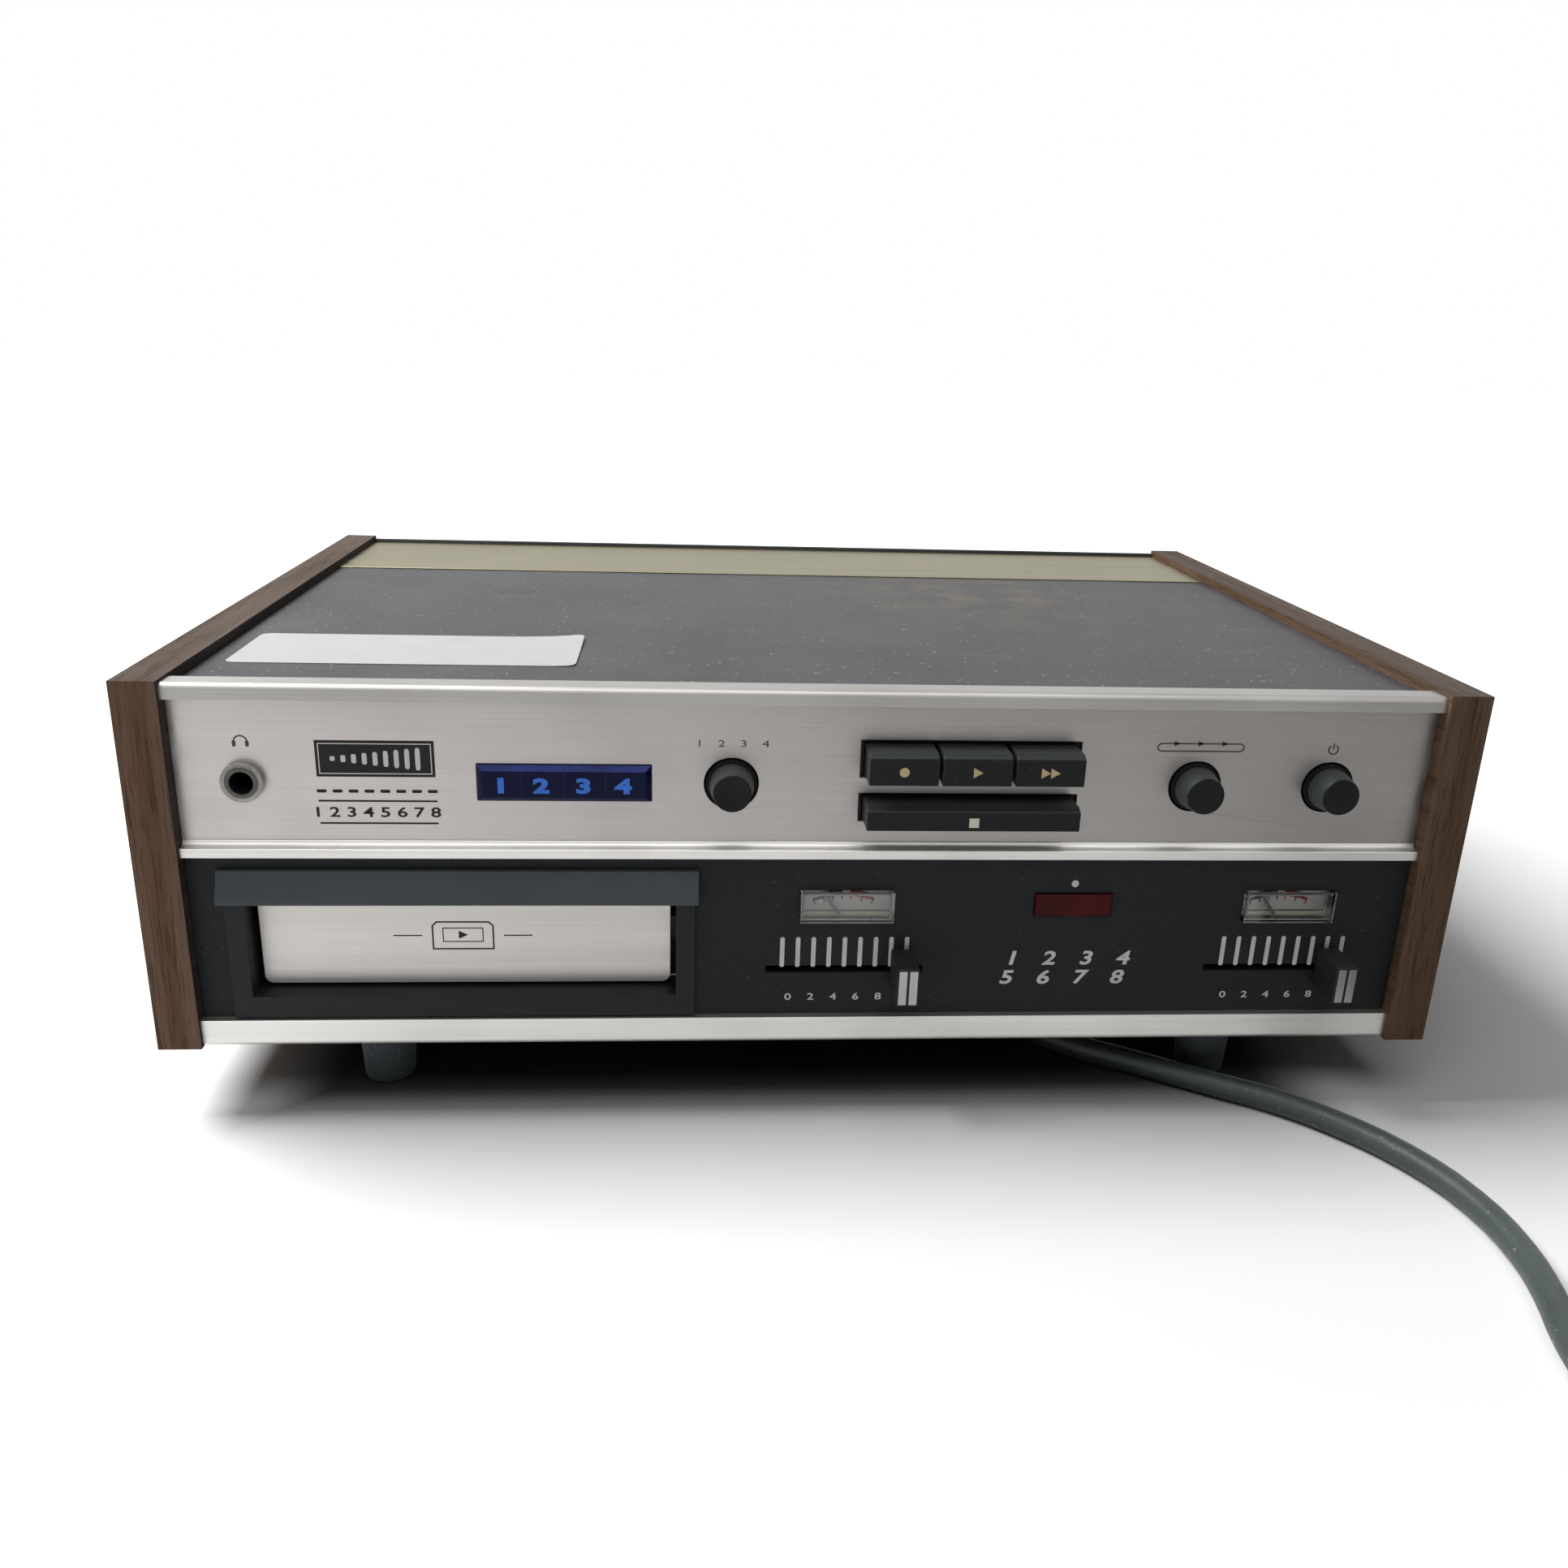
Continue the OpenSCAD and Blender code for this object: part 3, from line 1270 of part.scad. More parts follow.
module cord_tie() {
    tie_w = 8;
    play = 0.5;
    // the turns that pass under the tie, at the side of the coil towards the rear
    passes = [for (t = [0.5 : 1 : coil_turns]) coil_radius(t)];
    low_y = coil_center[1] + min(passes) - cord_r - play;
    high_y = coil_center[1] + max(passes) + cord_r + play;
    top = coil_z + coil_layer + cord_r + play;
    color("black") translate([coil_center[0] - tie_w / 2, 0, -foot_h]) difference() {
        block([0, low_y - tie_t, 0], [tie_w, high_y + tie_t, top + tie_t]);
        block([-1, low_y, tie_t], [tie_w + 1, high_y, top]);
    }
}

at_case() {
    left_side_panel();
    right_side_panel();
    top_cover();
    rear_trim();
    base_plate();
    rear_panel();
    fascia();
    top_rail();
    middle_rail();
    bottom_rail();
    lower_panel();
    cartridge_bezel();
    cartridge_door();
    door_face();
    door_hinge_pin();
    cartridge_tray();
    phones_jack();
    program_window();
    lamp_holders();
    indicator_lamps();
    record_lamp_lens();
    selector_button();
    continuous_button();
    power_button();
    push_switches();
    record_key();
    play_key();
    fast_forward_key();
    stop_key();
    key_frame();
    left_slider();
    right_slider();
    faders();
    meter_cases();
    meter_lenses();
    left_meter_needle();
    right_meter_needle();
    deck_plate();
    motor();
    motor_pulley();
    drive_belt();
    flywheel();
    capstan_bush();
    head_carriage();
    tape_head();
    program_cam();
    cam_bracket();
    solenoid();
    solenoid_plunger();
    power_transformer();
    transformer_winding();
    circuit_board();
    line_jacks();
    feet();
    screws();
    strain_relief();
    power_cord();
    power_cord_coil();
    power_plug();
    cord_tie();
}
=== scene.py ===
import logging
import math
from dataclasses import dataclass, field
from enum import Enum
from typing import Callable, Sequence

import bmesh
import bpy
from mathutils import Matrix, Vector


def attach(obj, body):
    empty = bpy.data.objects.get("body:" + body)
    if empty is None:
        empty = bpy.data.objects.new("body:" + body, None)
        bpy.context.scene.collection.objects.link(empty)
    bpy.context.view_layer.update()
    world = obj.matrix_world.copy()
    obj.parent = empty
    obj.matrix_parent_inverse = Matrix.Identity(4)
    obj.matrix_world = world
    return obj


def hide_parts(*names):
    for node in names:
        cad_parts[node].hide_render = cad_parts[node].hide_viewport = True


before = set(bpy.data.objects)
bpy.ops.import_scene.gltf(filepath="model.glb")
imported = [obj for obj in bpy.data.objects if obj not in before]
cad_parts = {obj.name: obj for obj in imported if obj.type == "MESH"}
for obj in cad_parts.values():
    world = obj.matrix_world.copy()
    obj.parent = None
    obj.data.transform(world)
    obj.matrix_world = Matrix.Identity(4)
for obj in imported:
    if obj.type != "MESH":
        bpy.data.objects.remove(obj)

LOG = logging.getLogger("cartridge_deck")

Tree = bpy.types.NodeTree
Socket = bpy.types.NodeSocket
Node = bpy.types.Node
Piece = bpy.types.Object
Pair = tuple[float, float]
Triple = tuple[float, float, float]

FRONT_Y = -121.25       # mm, where the case's front lies along the row's Y
BASE_Z = 22.0           # mm, height of the case's bottom above the floor
MERGE = 2e-6            # metres within which two points of a solid's mesh are one
NEAR = 0.2              # mm by which a face's middle may miss the plane that it lies in
FLAT_ANGLE = 0.6        # degrees under which two faces of a solid are one
SHARP_ANGLE = 40.0      # degrees over which an edge of a solid is broken and stays crisp
ROUND_ANGLE = 32.0      # degrees over which an edge of a turned piece stays crisp
CAPITAL = 0.73          # height of a figure as a share of the font's size


def row(x: float, y: float, z: float) -> Vector:
    """Turn a point of the case, in mm, into a point of the row frame, in metres.

    Args:
        x: Millimetres to the right of the middle of the case.
        y: Millimetres behind its front.
        z: Millimetres above its bottom.

    Returns:
        The point in metres.
    """
    return Vector((x, y + FRONT_Y, z + BASE_Z)) / 1000


def linear(code: str) -> tuple[float, float, float, float]:
    """Turn an sRGB hex colour into the linear colour that a shader socket takes.

    Args:
        code: A colour such as "#8e8c89".

    Returns:
        Red, green, blue and an alpha of 1.
    """
    parts = [int(code[i:i + 2], 16) / 255 for i in (1, 3, 5)]
    parts = [p / 12.92 if p <= 0.04045 else ((p + 0.055) / 1.055) ** 2.4 for p in parts]
    return parts[0], parts[1], parts[2], 1.0


def add(tree: Tree, kind: str, settings: dict | None = None,
        inputs: dict | None = None) -> Node:
    """Add a node to a tree, with its settings, its values and its links.

    Args:
        tree: A shader or geometry node tree.
        kind: The node's type.
        settings: Properties of the node by name.
        inputs: Values or sockets by the input's name or number; a socket is linked.

    Returns:
        The new node.
    """
    node = tree.nodes.new(kind)
    for name, value in (settings or {}).items():
        setattr(node, name, value)
    for name, value in (inputs or {}).items():
        if isinstance(value, Socket):
            tree.links.new(value, node.inputs[name])
        else:
            node.inputs[name].default_value = value
    return node


def shown(name: str, data: bpy.types.ID) -> Piece:
    """Put a new object with this data into the scene."""
    made = bpy.data.objects.new(name, data)
    bpy.context.scene.collection.objects.link(made)
    return made


# ---------- shader helpers ----------

def cleared(owner: bpy.types.Material | bpy.types.World) -> Tree:
    """Give the empty node tree of a new material or world."""
    owner.use_nodes = True
    owner.node_tree.nodes.clear()
    return owner.node_tree


class Run(Enum):
    """The way a brush, a saw or a strand ran over a surface, as lengths along x, y and z."""

    ACROSS = (70.0, 1.0, 1.0)
    UP = (1.0, 1.0, 70.0)
    NONE = (1.0, 1.0, 1.0)


def patches(tree: Tree, here: Socket, size: float, low: float = 0.35, high: float = 0.65,
            run: Run = Run.NONE, detail: float = 2.0) -> Socket:
    """Make blotches or streaks of one real size.

    Args:
        tree: The material's node tree.
        here: The place on the surface, in metres.
        size: Millimetres across one blotch.
        low: Noise that counts as 0.
        high: Noise that counts as 1.
        run: The way that the blotches are drawn out into streaks.
        detail: How much finer noise is laid over the first.

    Returns:
        A socket that goes from 0 to 1.
    """
    scale = [1000 / (size * longer) for longer in run.value]
    spread = add(tree, "ShaderNodeMapping", inputs={"Vector": here, "Scale": scale})
    noise = add(tree, "ShaderNodeTexNoise", inputs={
        "Vector": spread.outputs[0], "Scale": 1.0, "Detail": detail})
    return add(tree, "ShaderNodeMapRange", inputs={
        "Value": noise.outputs[0], "From Min": low, "From Max": high}).outputs[0]


def between(tree: Tree, part: Socket, low: float, high: float) -> Socket:
    """Spread a socket that goes from 0 to 1 over a range of its own."""
    return add(tree, "ShaderNodeMapRange", inputs={
        "Value": part, "To Min": low, "To Max": high}).outputs[0]


def mixed(tree: Tree, share: Socket, one: str | Socket, two: str | Socket,
          blend: str = "MIX") -> Socket:
    """Mix two colours, each a hex code or a socket; a share of 1 gives the second alone."""
    one, two = (linear(tone) if isinstance(tone, str) else tone for tone in (one, two))
    return add(tree, "ShaderNodeMix", {"data_type": "RGBA", "blend_type": blend},
               {0: share, 6: one, 7: two}).outputs[2]


def counted(tree: Tree, operation: str, one: Socket | float,
            two: Socket | float = 0.0) -> Socket:
    """Do one sum with two values."""
    return add(tree, "ShaderNodeMath", {"operation": operation}, {0: one, 1: two}).outputs[0]


# ---------- finishes ----------

@dataclass(frozen=True)
class Finish:
    """What a surface is made of; each kind of surface is a class of its own."""

    name: str
    colour: str
    roughness: float = 0.5

    def material(self) -> bpy.types.Material:
        """Give this finish as a material, made once."""
        known = bpy.data.materials.get(self.name)
        if known:
            return known
        made = bpy.data.materials.new(self.name)
        tree = cleared(made)
        here = add(tree, "ShaderNodeTexCoord").outputs["Object"]
        shader = self.surface(tree, here)
        add(tree, "ShaderNodeOutputMaterial", inputs={"Surface": shader.outputs[0]})
        return made

    def surface(self, tree: Tree, here: Socket) -> Node:
        """Build the shader.

        Args:
            tree: The material's node tree.
            here: The place on the surface, in metres.

        Returns:
            The shader node.
        """
        raise NotImplementedError

    def skin(self, tree: Tree, colour: Socket, worn: Socket, height: Socket | None,
             depth: float, more: dict, rough: Pair = (0.0, 0.12),
             sunken: bool = False) -> Node:
        """Build the shader of a solid surface.

        Args:
            tree: The material's node tree.
            colour: Its colour.
            worn: What its roughness follows, from 0 to 1.
            height: Its relief from 0 to 1, if it has any.
            depth: How deep that relief is, in mm.
            more: Further values of the shader by name.
            rough: What the roughness has on top of the finish's own, where worn is 0 and 1.
            sunken: Whether the relief goes into the surface.

        Returns:
            The shader node.
        """
        low, high = (self.roughness + change for change in rough)
        inputs = {"Base Color": colour, "Roughness": between(tree, worn, low, high)} | more
        if height is not None:
            inputs["Normal"] = add(tree, "ShaderNodeBump", {"invert": sunken}, {
                "Height": height, "Distance": depth / 1000}).outputs[0]
        return add(tree, "ShaderNodeBsdfPrincipled", inputs=inputs)


@dataclass(frozen=True)
class WalnutVeneer(Finish):
    """Walnut veneer, sanded and oiled: brown bands with fine dark pores along the grain.

    The front edges are cut across the sheet, so the grain stands up there.
    """

    dark: str = "#33241a"
    painted_top: str = "#5a4f48"      # painted light: the faces that look up are drawn paler and greyer, as light from above falls on them
    painted_top_dark: str = "#463b31"
    pore_tone: str = "#857466"
    band: float = 5.0       # mm across one growth band
    pore: float = 0.55      # mm across a pore streak, drawn twice its real width to show
    streak: float = 0.05    # how much the grain is drawn out along its length
    square: float = 0.75    # how squarely a face looks one way, to count as a front or a top
    gloss: float = 0.06     # specular level
    relief: float = 0.06    # mm that the pores are deep

    def surface(self, tree: Tree, here: Socket) -> Node:
        """Build the shader; the place and the result are as in Finish."""
        facing = add(tree, "ShaderNodeTexCoord").outputs["Normal"]
        ways = add(tree, "ShaderNodeSeparateXYZ", inputs={0: facing}).outputs
        ahead = counted(tree, "ABSOLUTE", ways[1])
        front = counted(tree, "GREATER_THAN", ahead, self.square)
        upward = counted(tree, "GREATER_THAN", ways[2], self.square)
        deep, tall = (add(tree, "ShaderNodeMapping", inputs={"Vector": here, "Scale": scale})
                      for scale in ((1, self.streak, 1), (1, 1, self.streak)))
        grain = add(tree, "ShaderNodeMix", {"data_type": "VECTOR"}, {
            0: front, 4: deep.outputs[0], 5: tall.outputs[0]}).outputs[1]
        bands = patches(tree, grain, self.band, 0.25, 0.75, detail=3.0)
        pores = patches(tree, grain, self.pore, 0.50, 0.72)
        # painted light: faces that look up take the paler pair of tones
        tone = mixed(tree, upward, mixed(tree, bands, self.dark, self.colour),
                     mixed(tree, bands, self.painted_top_dark, self.painted_top))
        pored = mixed(tree, between(tree, pores, 0.0, 0.6), tone, self.pore_tone, "MULTIPLY")
        return self.skin(tree, pored, bands, pores, self.relief, {"Specular IOR Level": self.gloss},
                         (0.08, -0.06), True)


@dataclass(frozen=True)
class StovedPaint(Finish):
    """Stoved paint on sheet steel: dull, faintly pebbled, with dust, rubs and one brown smudge."""

    rubbed: str = "#565758"
    soiled: str = "#645a49"
    smudge: Triple = (0.07, 0.03, 0.126)    # its middle, in metres
    smudge_edge: float = 0.075      # metres from its middle to where it ends
    smudge_core: float = 0.012      # metres from its middle to where it begins to fade
    worn: float = 1.0       # 1 on the cover's top, 0 on hidden sheets
    scratched: str = "#737371"
    dust: str = "#8f8b83"
    cloud: float = 38.0     # mm across a rubbed patch
    mote: float = 1.6       # mm across a speck of dust
    rub: float = 1.1        # mm across a rub, far longer along the deck
    spot: float = 14.0      # mm across a spot within the smudge
    pebble: float = 0.7     # mm across one pebble of the paint
    relief: float = 0.05    # mm that the pebbles stand up

    def surface(self, tree: Tree, here: Socket) -> Node:
        """Build the shader; the place and the result are as in Finish."""
        clouds = patches(tree, here, self.cloud, 0.3, 0.75, detail=4.0)
        pebble = patches(tree, here, self.pebble, 0.2, 0.8)
        dust = patches(tree, here, self.mote, 0.71, 0.75, detail=1.0)
        rubs = patches(tree, here, self.rub, 0.66, 0.74, Run.ACROSS)
        near = add(tree, "ShaderNodeVectorMath", {"operation": "DISTANCE"},
                   {0: here, 1: self.smudge})
        stain = add(tree, "ShaderNodeMapRange", inputs={
            "Value": near.outputs[1], "From Min": self.smudge_edge,
            "From Max": self.smudge_core, "To Max": 0.55})
        spread = counted(tree, "MULTIPLY", stain.outputs[0],
                         patches(tree, here, self.spot, 0.4, 0.7, detail=3.0))
        tone = mixed(tree, between(tree, clouds, 0.0, 0.6 * self.worn), self.colour, self.rubbed)
        tone = mixed(tree, spread, tone, self.soiled)
        tone = mixed(tree, between(tree, rubs, 0.0, 0.35 * self.worn), tone, self.scratched)
        tone = mixed(tree, between(tree, dust, 0.0, 0.7 * self.worn), tone, self.dust)
        return self.skin(tree, tone, clouds, pebble, self.relief, {"Specular IOR Level": 0.25})


@dataclass(frozen=True)
class BrushedMetal(Finish):
    """Brushed and anodised metal: hair lines one way, which stretch each reflection."""

    run: Run = Run.ACROSS
    hair: float = 0.45      # mm between hair lines, drawn four times coarser than real to show
    contrast: float = 0.22
    handled: str = "#a39a94"    # where hands left a film
    painted_fade: float = 0.0         # painted shade: how far the right end is drawn darker, standing in for light falling off across the face
    painted_fade_tone: str = "#8b8986"
    painted_fade_span: Pair = (-0.16, 0.06)  # x where the painted shade begins and is full, m
    hair_tone: str = "#b2b0ae"
    band: float = 7.0       # mm across a band of the brush
    film: float = 45.0      # mm across a patch of film
    relief: float = 0.008   # mm that the hair lines are deep

    def surface(self, tree: Tree, here: Socket) -> Node:
        """Build the shader; the place and the result are as in Finish."""
        hairs = patches(tree, here, self.hair, 0.3, 0.7, self.run, 3.0)
        bands = patches(tree, here, self.band, 0.3, 0.7, self.run)
        film = patches(tree, here, self.film, 0.45, 0.7, detail=3.0)
        tone = mixed(tree, between(tree, film, 0.0, 0.5), self.colour, self.handled)
        across = add(tree, "ShaderNodeSeparateXYZ", inputs={0: here})
        # painted shade: the tone darkens towards the right end
        fade_ramp = add(tree, "ShaderNodeMapRange", inputs={
            "Value": across.outputs[0], "From Min": self.painted_fade_span[0],
            "From Max": self.painted_fade_span[1], "To Max": self.painted_fade})
        tone = mixed(tree, fade_ramp.outputs[0], tone, self.painted_fade_tone)
        tone = mixed(tree, between(tree, hairs, 0.0, self.contrast), tone, self.hair_tone,
                     "MULTIPLY")
        return self.skin(tree, tone, bands, hairs, self.relief, {"Metallic": 1.0}, (-0.05, 0.07))


@dataclass(frozen=True)
class PlatedMetal(Finish):
    """Plated, turned or cast metal: a smooth coat with small smears, and pits where it was cast."""

    pits: float = 0.0       # depth of the pits in mm
    grain: float = 0.8      # mm across a pit
    tarnish: str = "#6e675c"
    smear: float = 5.0      # mm across a smear
    least: float = 0.004    # mm of relief that even a smooth coat has

    def surface(self, tree: Tree, here: Socket) -> Node:
        """Build the shader; the place and the result are as in Finish."""
        smears = patches(tree, here, self.smear, 0.35, 0.75, detail=3.0)
        pits = patches(tree, here, self.grain, 0.3, 0.7)
        tone = mixed(tree, between(tree, smears, 0.0, 0.35), self.colour, self.tarnish)
        return self.skin(tree, tone, smears, pits, self.least + self.pits, {"Metallic": 1.0},
                         (0.0, 0.15))


@dataclass(frozen=True)
class MouldedPlastic(Finish):
    """Moulded ABS or phenolic: an even skin with a fine spark-eroded texture, dulled by use."""

    dusty: str = "#3a3f41"
    texture: float = 0.45   # mm across one grain of the mould's texture
    gloss: float = 0.25     # specular level: low on a matt skin
    speck: str = "#77787a"
    film: float = 22.0      # mm across a patch of dust film
    mote: float = 0.9       # mm across a speck
    relief: float = 0.02    # mm that the texture is deep

    def surface(self, tree: Tree, here: Socket) -> Node:
        """Build the shader; the place and the result are as in Finish."""
        grains = patches(tree, here, self.texture, 0.3, 0.7)
        film = patches(tree, here, self.film, 0.4, 0.75, detail=4.0)
        specks = patches(tree, here, self.mote, 0.70, 0.76, detail=1.0)
        tone = mixed(tree, between(tree, film, 0.0, 0.35), self.colour, self.dusty)
        tone = mixed(tree, between(tree, specks, 0.0, 0.12), tone, self.speck)
        return self.skin(tree, tone, film, grains, self.relief, {"Specular IOR Level": self.gloss})


@dataclass(frozen=True)
class TintedAcrylic(Finish):
    """Cast acrylic, tinted through: smooth and deep, with a bright skin and soft wear."""

    deep: str = "#0c0f30"
    clear: float = 0.2      # share of the light that passes
    index: float = 1.49     # refraction of acrylic
    cloud: float = 9.0      # mm across a deeper patch of the tint
    wear: float = 2.5       # mm across a dull patch

    def surface(self, tree: Tree, here: Socket) -> Node:
        """Build the shader; the place and the result are as in Finish."""
        depth = patches(tree, here, self.cloud, 0.3, 0.7)
        haze = patches(tree, here, self.wear, 0.5, 0.8, detail=4.0)
        return self.skin(tree, mixed(tree, depth, self.colour, self.deep), haze, None, 0.0, {
            "IOR": self.index, "Transmission Weight": self.clear,
            "Specular IOR Level": 0.1 + 0.4 * self.clear})


@dataclass(frozen=True)
class SoftRubber(Finish):
    """Moulded rubber or soft vinyl: matt, with flow lines along its length and a dusty bloom."""

    bloom: str = "#5a6264"
    run: Run = Run.NONE
    sheen: float = 0.15
    gloss: float = 0.3
    speck: str = "#8b9090"
    flow: float = 1.2       # mm across a flow line
    patch: float = 16.0     # mm across a patch of bloom
    mote: float = 1.3       # mm across a speck
    relief: float = 0.03    # mm that the flow lines are deep

    def surface(self, tree: Tree, here: Socket) -> Node:
        """Build the shader; the place and the result are as in Finish."""
        flow = patches(tree, here, self.flow, 0.35, 0.7, self.run, 3.0)
        dust = patches(tree, here, self.patch, 0.4, 0.75, detail=4.0)
        specks = patches(tree, here, self.mote, 0.69, 0.75, detail=1.0)
        tone = mixed(tree, between(tree, dust, 0.0, 0.4), self.colour, self.bloom)
        tone = mixed(tree, between(tree, specks, 0.0, 0.5), tone, self.speck)
        return self.skin(tree, tone, flow, flow, self.relief, {
            "Sheen Weight": self.sheen, "Specular IOR Level": self.gloss}, (0.0, 0.1))


@dataclass(frozen=True)
class Layered(Finish):
    """Stacked or wound stuff, such as core sheets, wire or board glass: fine even bands."""

    gap: str = "#1d1815"
    pitch: float = 1.0      # mm from one layer to the next
    axis: str = "Z"
    metal: float = 0.0
    stained: str = "#a39b90"
    stain: float = 6.0      # mm across a stain
    slim: float = 12.0      # how many times a gap's depth goes into the pitch

    def surface(self, tree: Tree, here: Socket) -> Node:
        """Build the shader; the place and the result are as in Finish."""
        # a band texture has one wave in 2 pi / 20 of its unit at scale 1
        waves = add(tree, "ShaderNodeTexWave", {"bands_direction": self.axis}, {
            "Vector": here, "Scale": 1000 / self.pitch * math.tau / 20,
            "Distortion": 0.0}).outputs[1]
        stains = patches(tree, here, self.stain, 0.3, 0.8, detail=3.0)
        lines = mixed(tree, between(tree, waves, 0.35, 1.0), self.gap, self.colour)
        tone = mixed(tree, between(tree, stains, 0.0, 0.4), lines, self.stained, "MULTIPLY")
        return self.skin(tree, tone, stains, waves, self.pitch / self.slim,
                         {"Metallic": self.metal}, (0.0, 0.15))


@dataclass(frozen=True)
class Printed(Finish):
    """Screen printed ink or coated paper: dead flat and even, thin in places, faintly soiled."""

    soiled: str = "#9c988e"
    soil: float = 0.2
    sheet: float = 9.0      # mm across a soiled patch
    thin: float = 0.6       # mm across a thin spot of the ink
    relief: float = 0.01    # mm that the ink's skin is uneven

    def surface(self, tree: Tree, here: Socket) -> Node:
        """Build the shader; the place and the result are as in Finish."""
        thin = patches(tree, here, self.thin, 0.3, 0.7)
        soil = patches(tree, here, self.sheet, 0.45, 0.8, detail=4.0)
        tone = mixed(tree, between(tree, soil, 0.0, self.soil), self.colour, self.soiled)
        return self.skin(tree, tone, thin, thin, self.relief, {"Specular IOR Level": 0.2})


WALNUT = WalnutVeneer("oiled_walnut_veneer", "#715b4c", 0.6, "#584432")
# painted shade: the inner face of the left side panel, which stands in shadow, drawn near black
WALNUT_PAINTED_SHADE = WalnutVeneer("walnut_inner_painted_shade", "#3e3735", 0.65, "#332c2b")
COVER_PAINT = StovedPaint("grey_stoved_paint", "#323335", 0.5)
CHASSIS_PAINT = StovedPaint("black_stoved_chassis_paint", "#303234", 0.5, "#3b3d3f", "#3b3934",
                            worn=0.3)
CHAMPAGNE = BrushedMetal("champagne_anodised_strip", "#89836b", 0.42, contrast=0.14,
                         handled="#908a70")
# the fascia darkens towards the right: painted shade
FASCIA_METAL = BrushedMetal("brushed_anodised_fascia", "#c2bdbb", 0.36, contrast=0.13,
                            handled="#aea7a3", painted_fade=0.66)
# painted light and shade: one anodised extrusion in two tones, the top rail darker against the top
# lamp's highlight, the lower rails lighter for the bright surroundings that they reflect
RAIL_TOP_SHADED = BrushedMetal("top_rail_painted_shade", "#aeaca9", 0.4, hair=0.8, contrast=0.16,
                       handled="#9c9996")
RAIL_LOWER_LIT = BrushedMetal("lower_rails_painted_light", "#dbdad6", 0.4, hair=0.8, contrast=0.16,
                          handled="#c3c1bc")
# the door plate darkens towards the right: painted shade
DOOR_METAL = BrushedMetal("brushed_door_plate", "#c3c0bd", 0.38, hair=0.5, contrast=0.12,
                          handled="#c0bab4", painted_fade=0.35)
SATIN_METAL = BrushedMetal("satin_slider_face", "#a9a9a7", 0.3, Run.UP, 0.4, 0.15, "#8f9193")
PANEL_BLACK = MouldedPlastic("textured_black_panel", "#1a1c1e", 0.55, "#232628", 0.6, 0.18)
BEZEL_BLACK = MouldedPlastic("slate_abs_bezel", "#1a1d20", 0.5, "#282b30", 0.5, 0.2)
# painted light: the hood's sloping top is drawn much paler than the bezel, as light from above
# falls on it; its dust film and specks are laid over that
HOOD_LIT = MouldedPlastic("hood_painted_light", "#3f4548", 0.55, "#545d60", 0.5, 0.25)
KEY_BLACK = MouldedPlastic("black_abs_key", "#0f1011", 0.42, "#1a1c1e", 0.4, 0.2)
# painted light: the key tops drawn lighter than the fronts, as light from above falls on them
KEY_TOP_LIT = MouldedPlastic("key_top_painted_light", "#2a2d2f", 0.45, "#3e4345", 0.4, 0.25)
CAP_BLACK = MouldedPlastic("slate_abs_button", "#0f1112", 0.4, "#191c1e", 0.4, 0.17)
# painted light: the front of a button's cone drawn pale, where light falls on its side
CAP_CONE_LIT = MouldedPlastic("button_cone_painted_light", "#303635", 0.42, "#454b49", 0.4, 0.35)
# painted shade: the rear of a button's cone drawn near black, where the hole shades it
CAP_REAR_SHADE = MouldedPlastic("button_rear_painted_shade", "#0a0b0b", 0.45, "#131515", 0.4, 0.12)
SLIDER_BLACK = MouldedPlastic("black_abs_slider", "#1b1c1d", 0.5, "#2c2e2e", 0.4, 0.22)
PALE_PLASTIC = MouldedPlastic("ivory_moulded_plastic", "#b9b4a6", 0.5, "#8e8a80", 0.6, 0.4)
FADER_BLACK = MouldedPlastic("black_fader_case", "#17171a", 0.6, "#26262a", 0.5, 0.15)
PHENOLIC = MouldedPlastic("brown_phenolic", "#4a3022", 0.4, "#5a4434", 0.5, 0.45)
BLUE_ACRYLIC = TintedAcrylic("blue_acrylic_window", "#0a1039", 0.1, "#080d30", 0.0)
# painted highlight: the window's top bevel drawn pale blue, where light catches it
BLUE_BEVEL_LIT = TintedAcrylic("blue_bevel_painted_light", "#36459c", 0.16, "#28357e", 0.0)
RED_ACRYLIC = TintedAcrylic("red_acrylic_lens", "#4f0a12", 0.16, "#35060b", 0.0)
CLEAR_ACRYLIC = TintedAcrylic("clear_acrylic_lens", "#f4f4f0", 0.03, "#eeeeea", 1.0)
LAMP_GLASS = TintedAcrylic("lamp_glass", "#f2eee2", 0.04, "#e8e2d2", 0.9)
NICKEL = PlatedMetal("polished_nickel", "#c9c6bf", 0.12, tarnish="#8f8a80")
NUT_NICKEL = PlatedMetal("worn_nickel_nut", "#8d8b85", 0.2, tarnish="#4d4a45")
BUSH_NICKEL = PlatedMetal("dull_nickel_bush", "#5a5853", 0.24, tarnish="#32302d")
ZINC = PlatedMetal("zinc_plated_steel", "#a6a8a6", 0.34, 0.006, 1.4, "#86877f")
BRASS = PlatedMetal("turned_brass", "#b08d4c", 0.25, tarnish="#7a6234")
IRON = PlatedMetal("cast_iron_wheel", "#6d6d6e", 0.42, 0.02, 1.2, "#4b4a49")
MOTOR_STEEL = PlatedMetal("pressed_motor_steel", "#85878a", 0.38, 0.004, 2.0, "#66635e")
HEAD_METAL = PlatedMetal("lapped_head_metal", "#b9b8b4", 0.15, tarnish="#8d8a84")
NEEDLE_PAINT = MouldedPlastic("grey_needle_lacquer", "#65636a", 0.4, "#707076", 0.3, 0.3)
CORE = Layered("laminated_core_steel", "#5b5f66", 0.5, "#2a2c30", 1.0, "Y", 0.7)
COPPER = Layered("lacquered_copper_winding", "#a4582a", 0.35, "#4a2512", 1.0, "Z", 0.6)
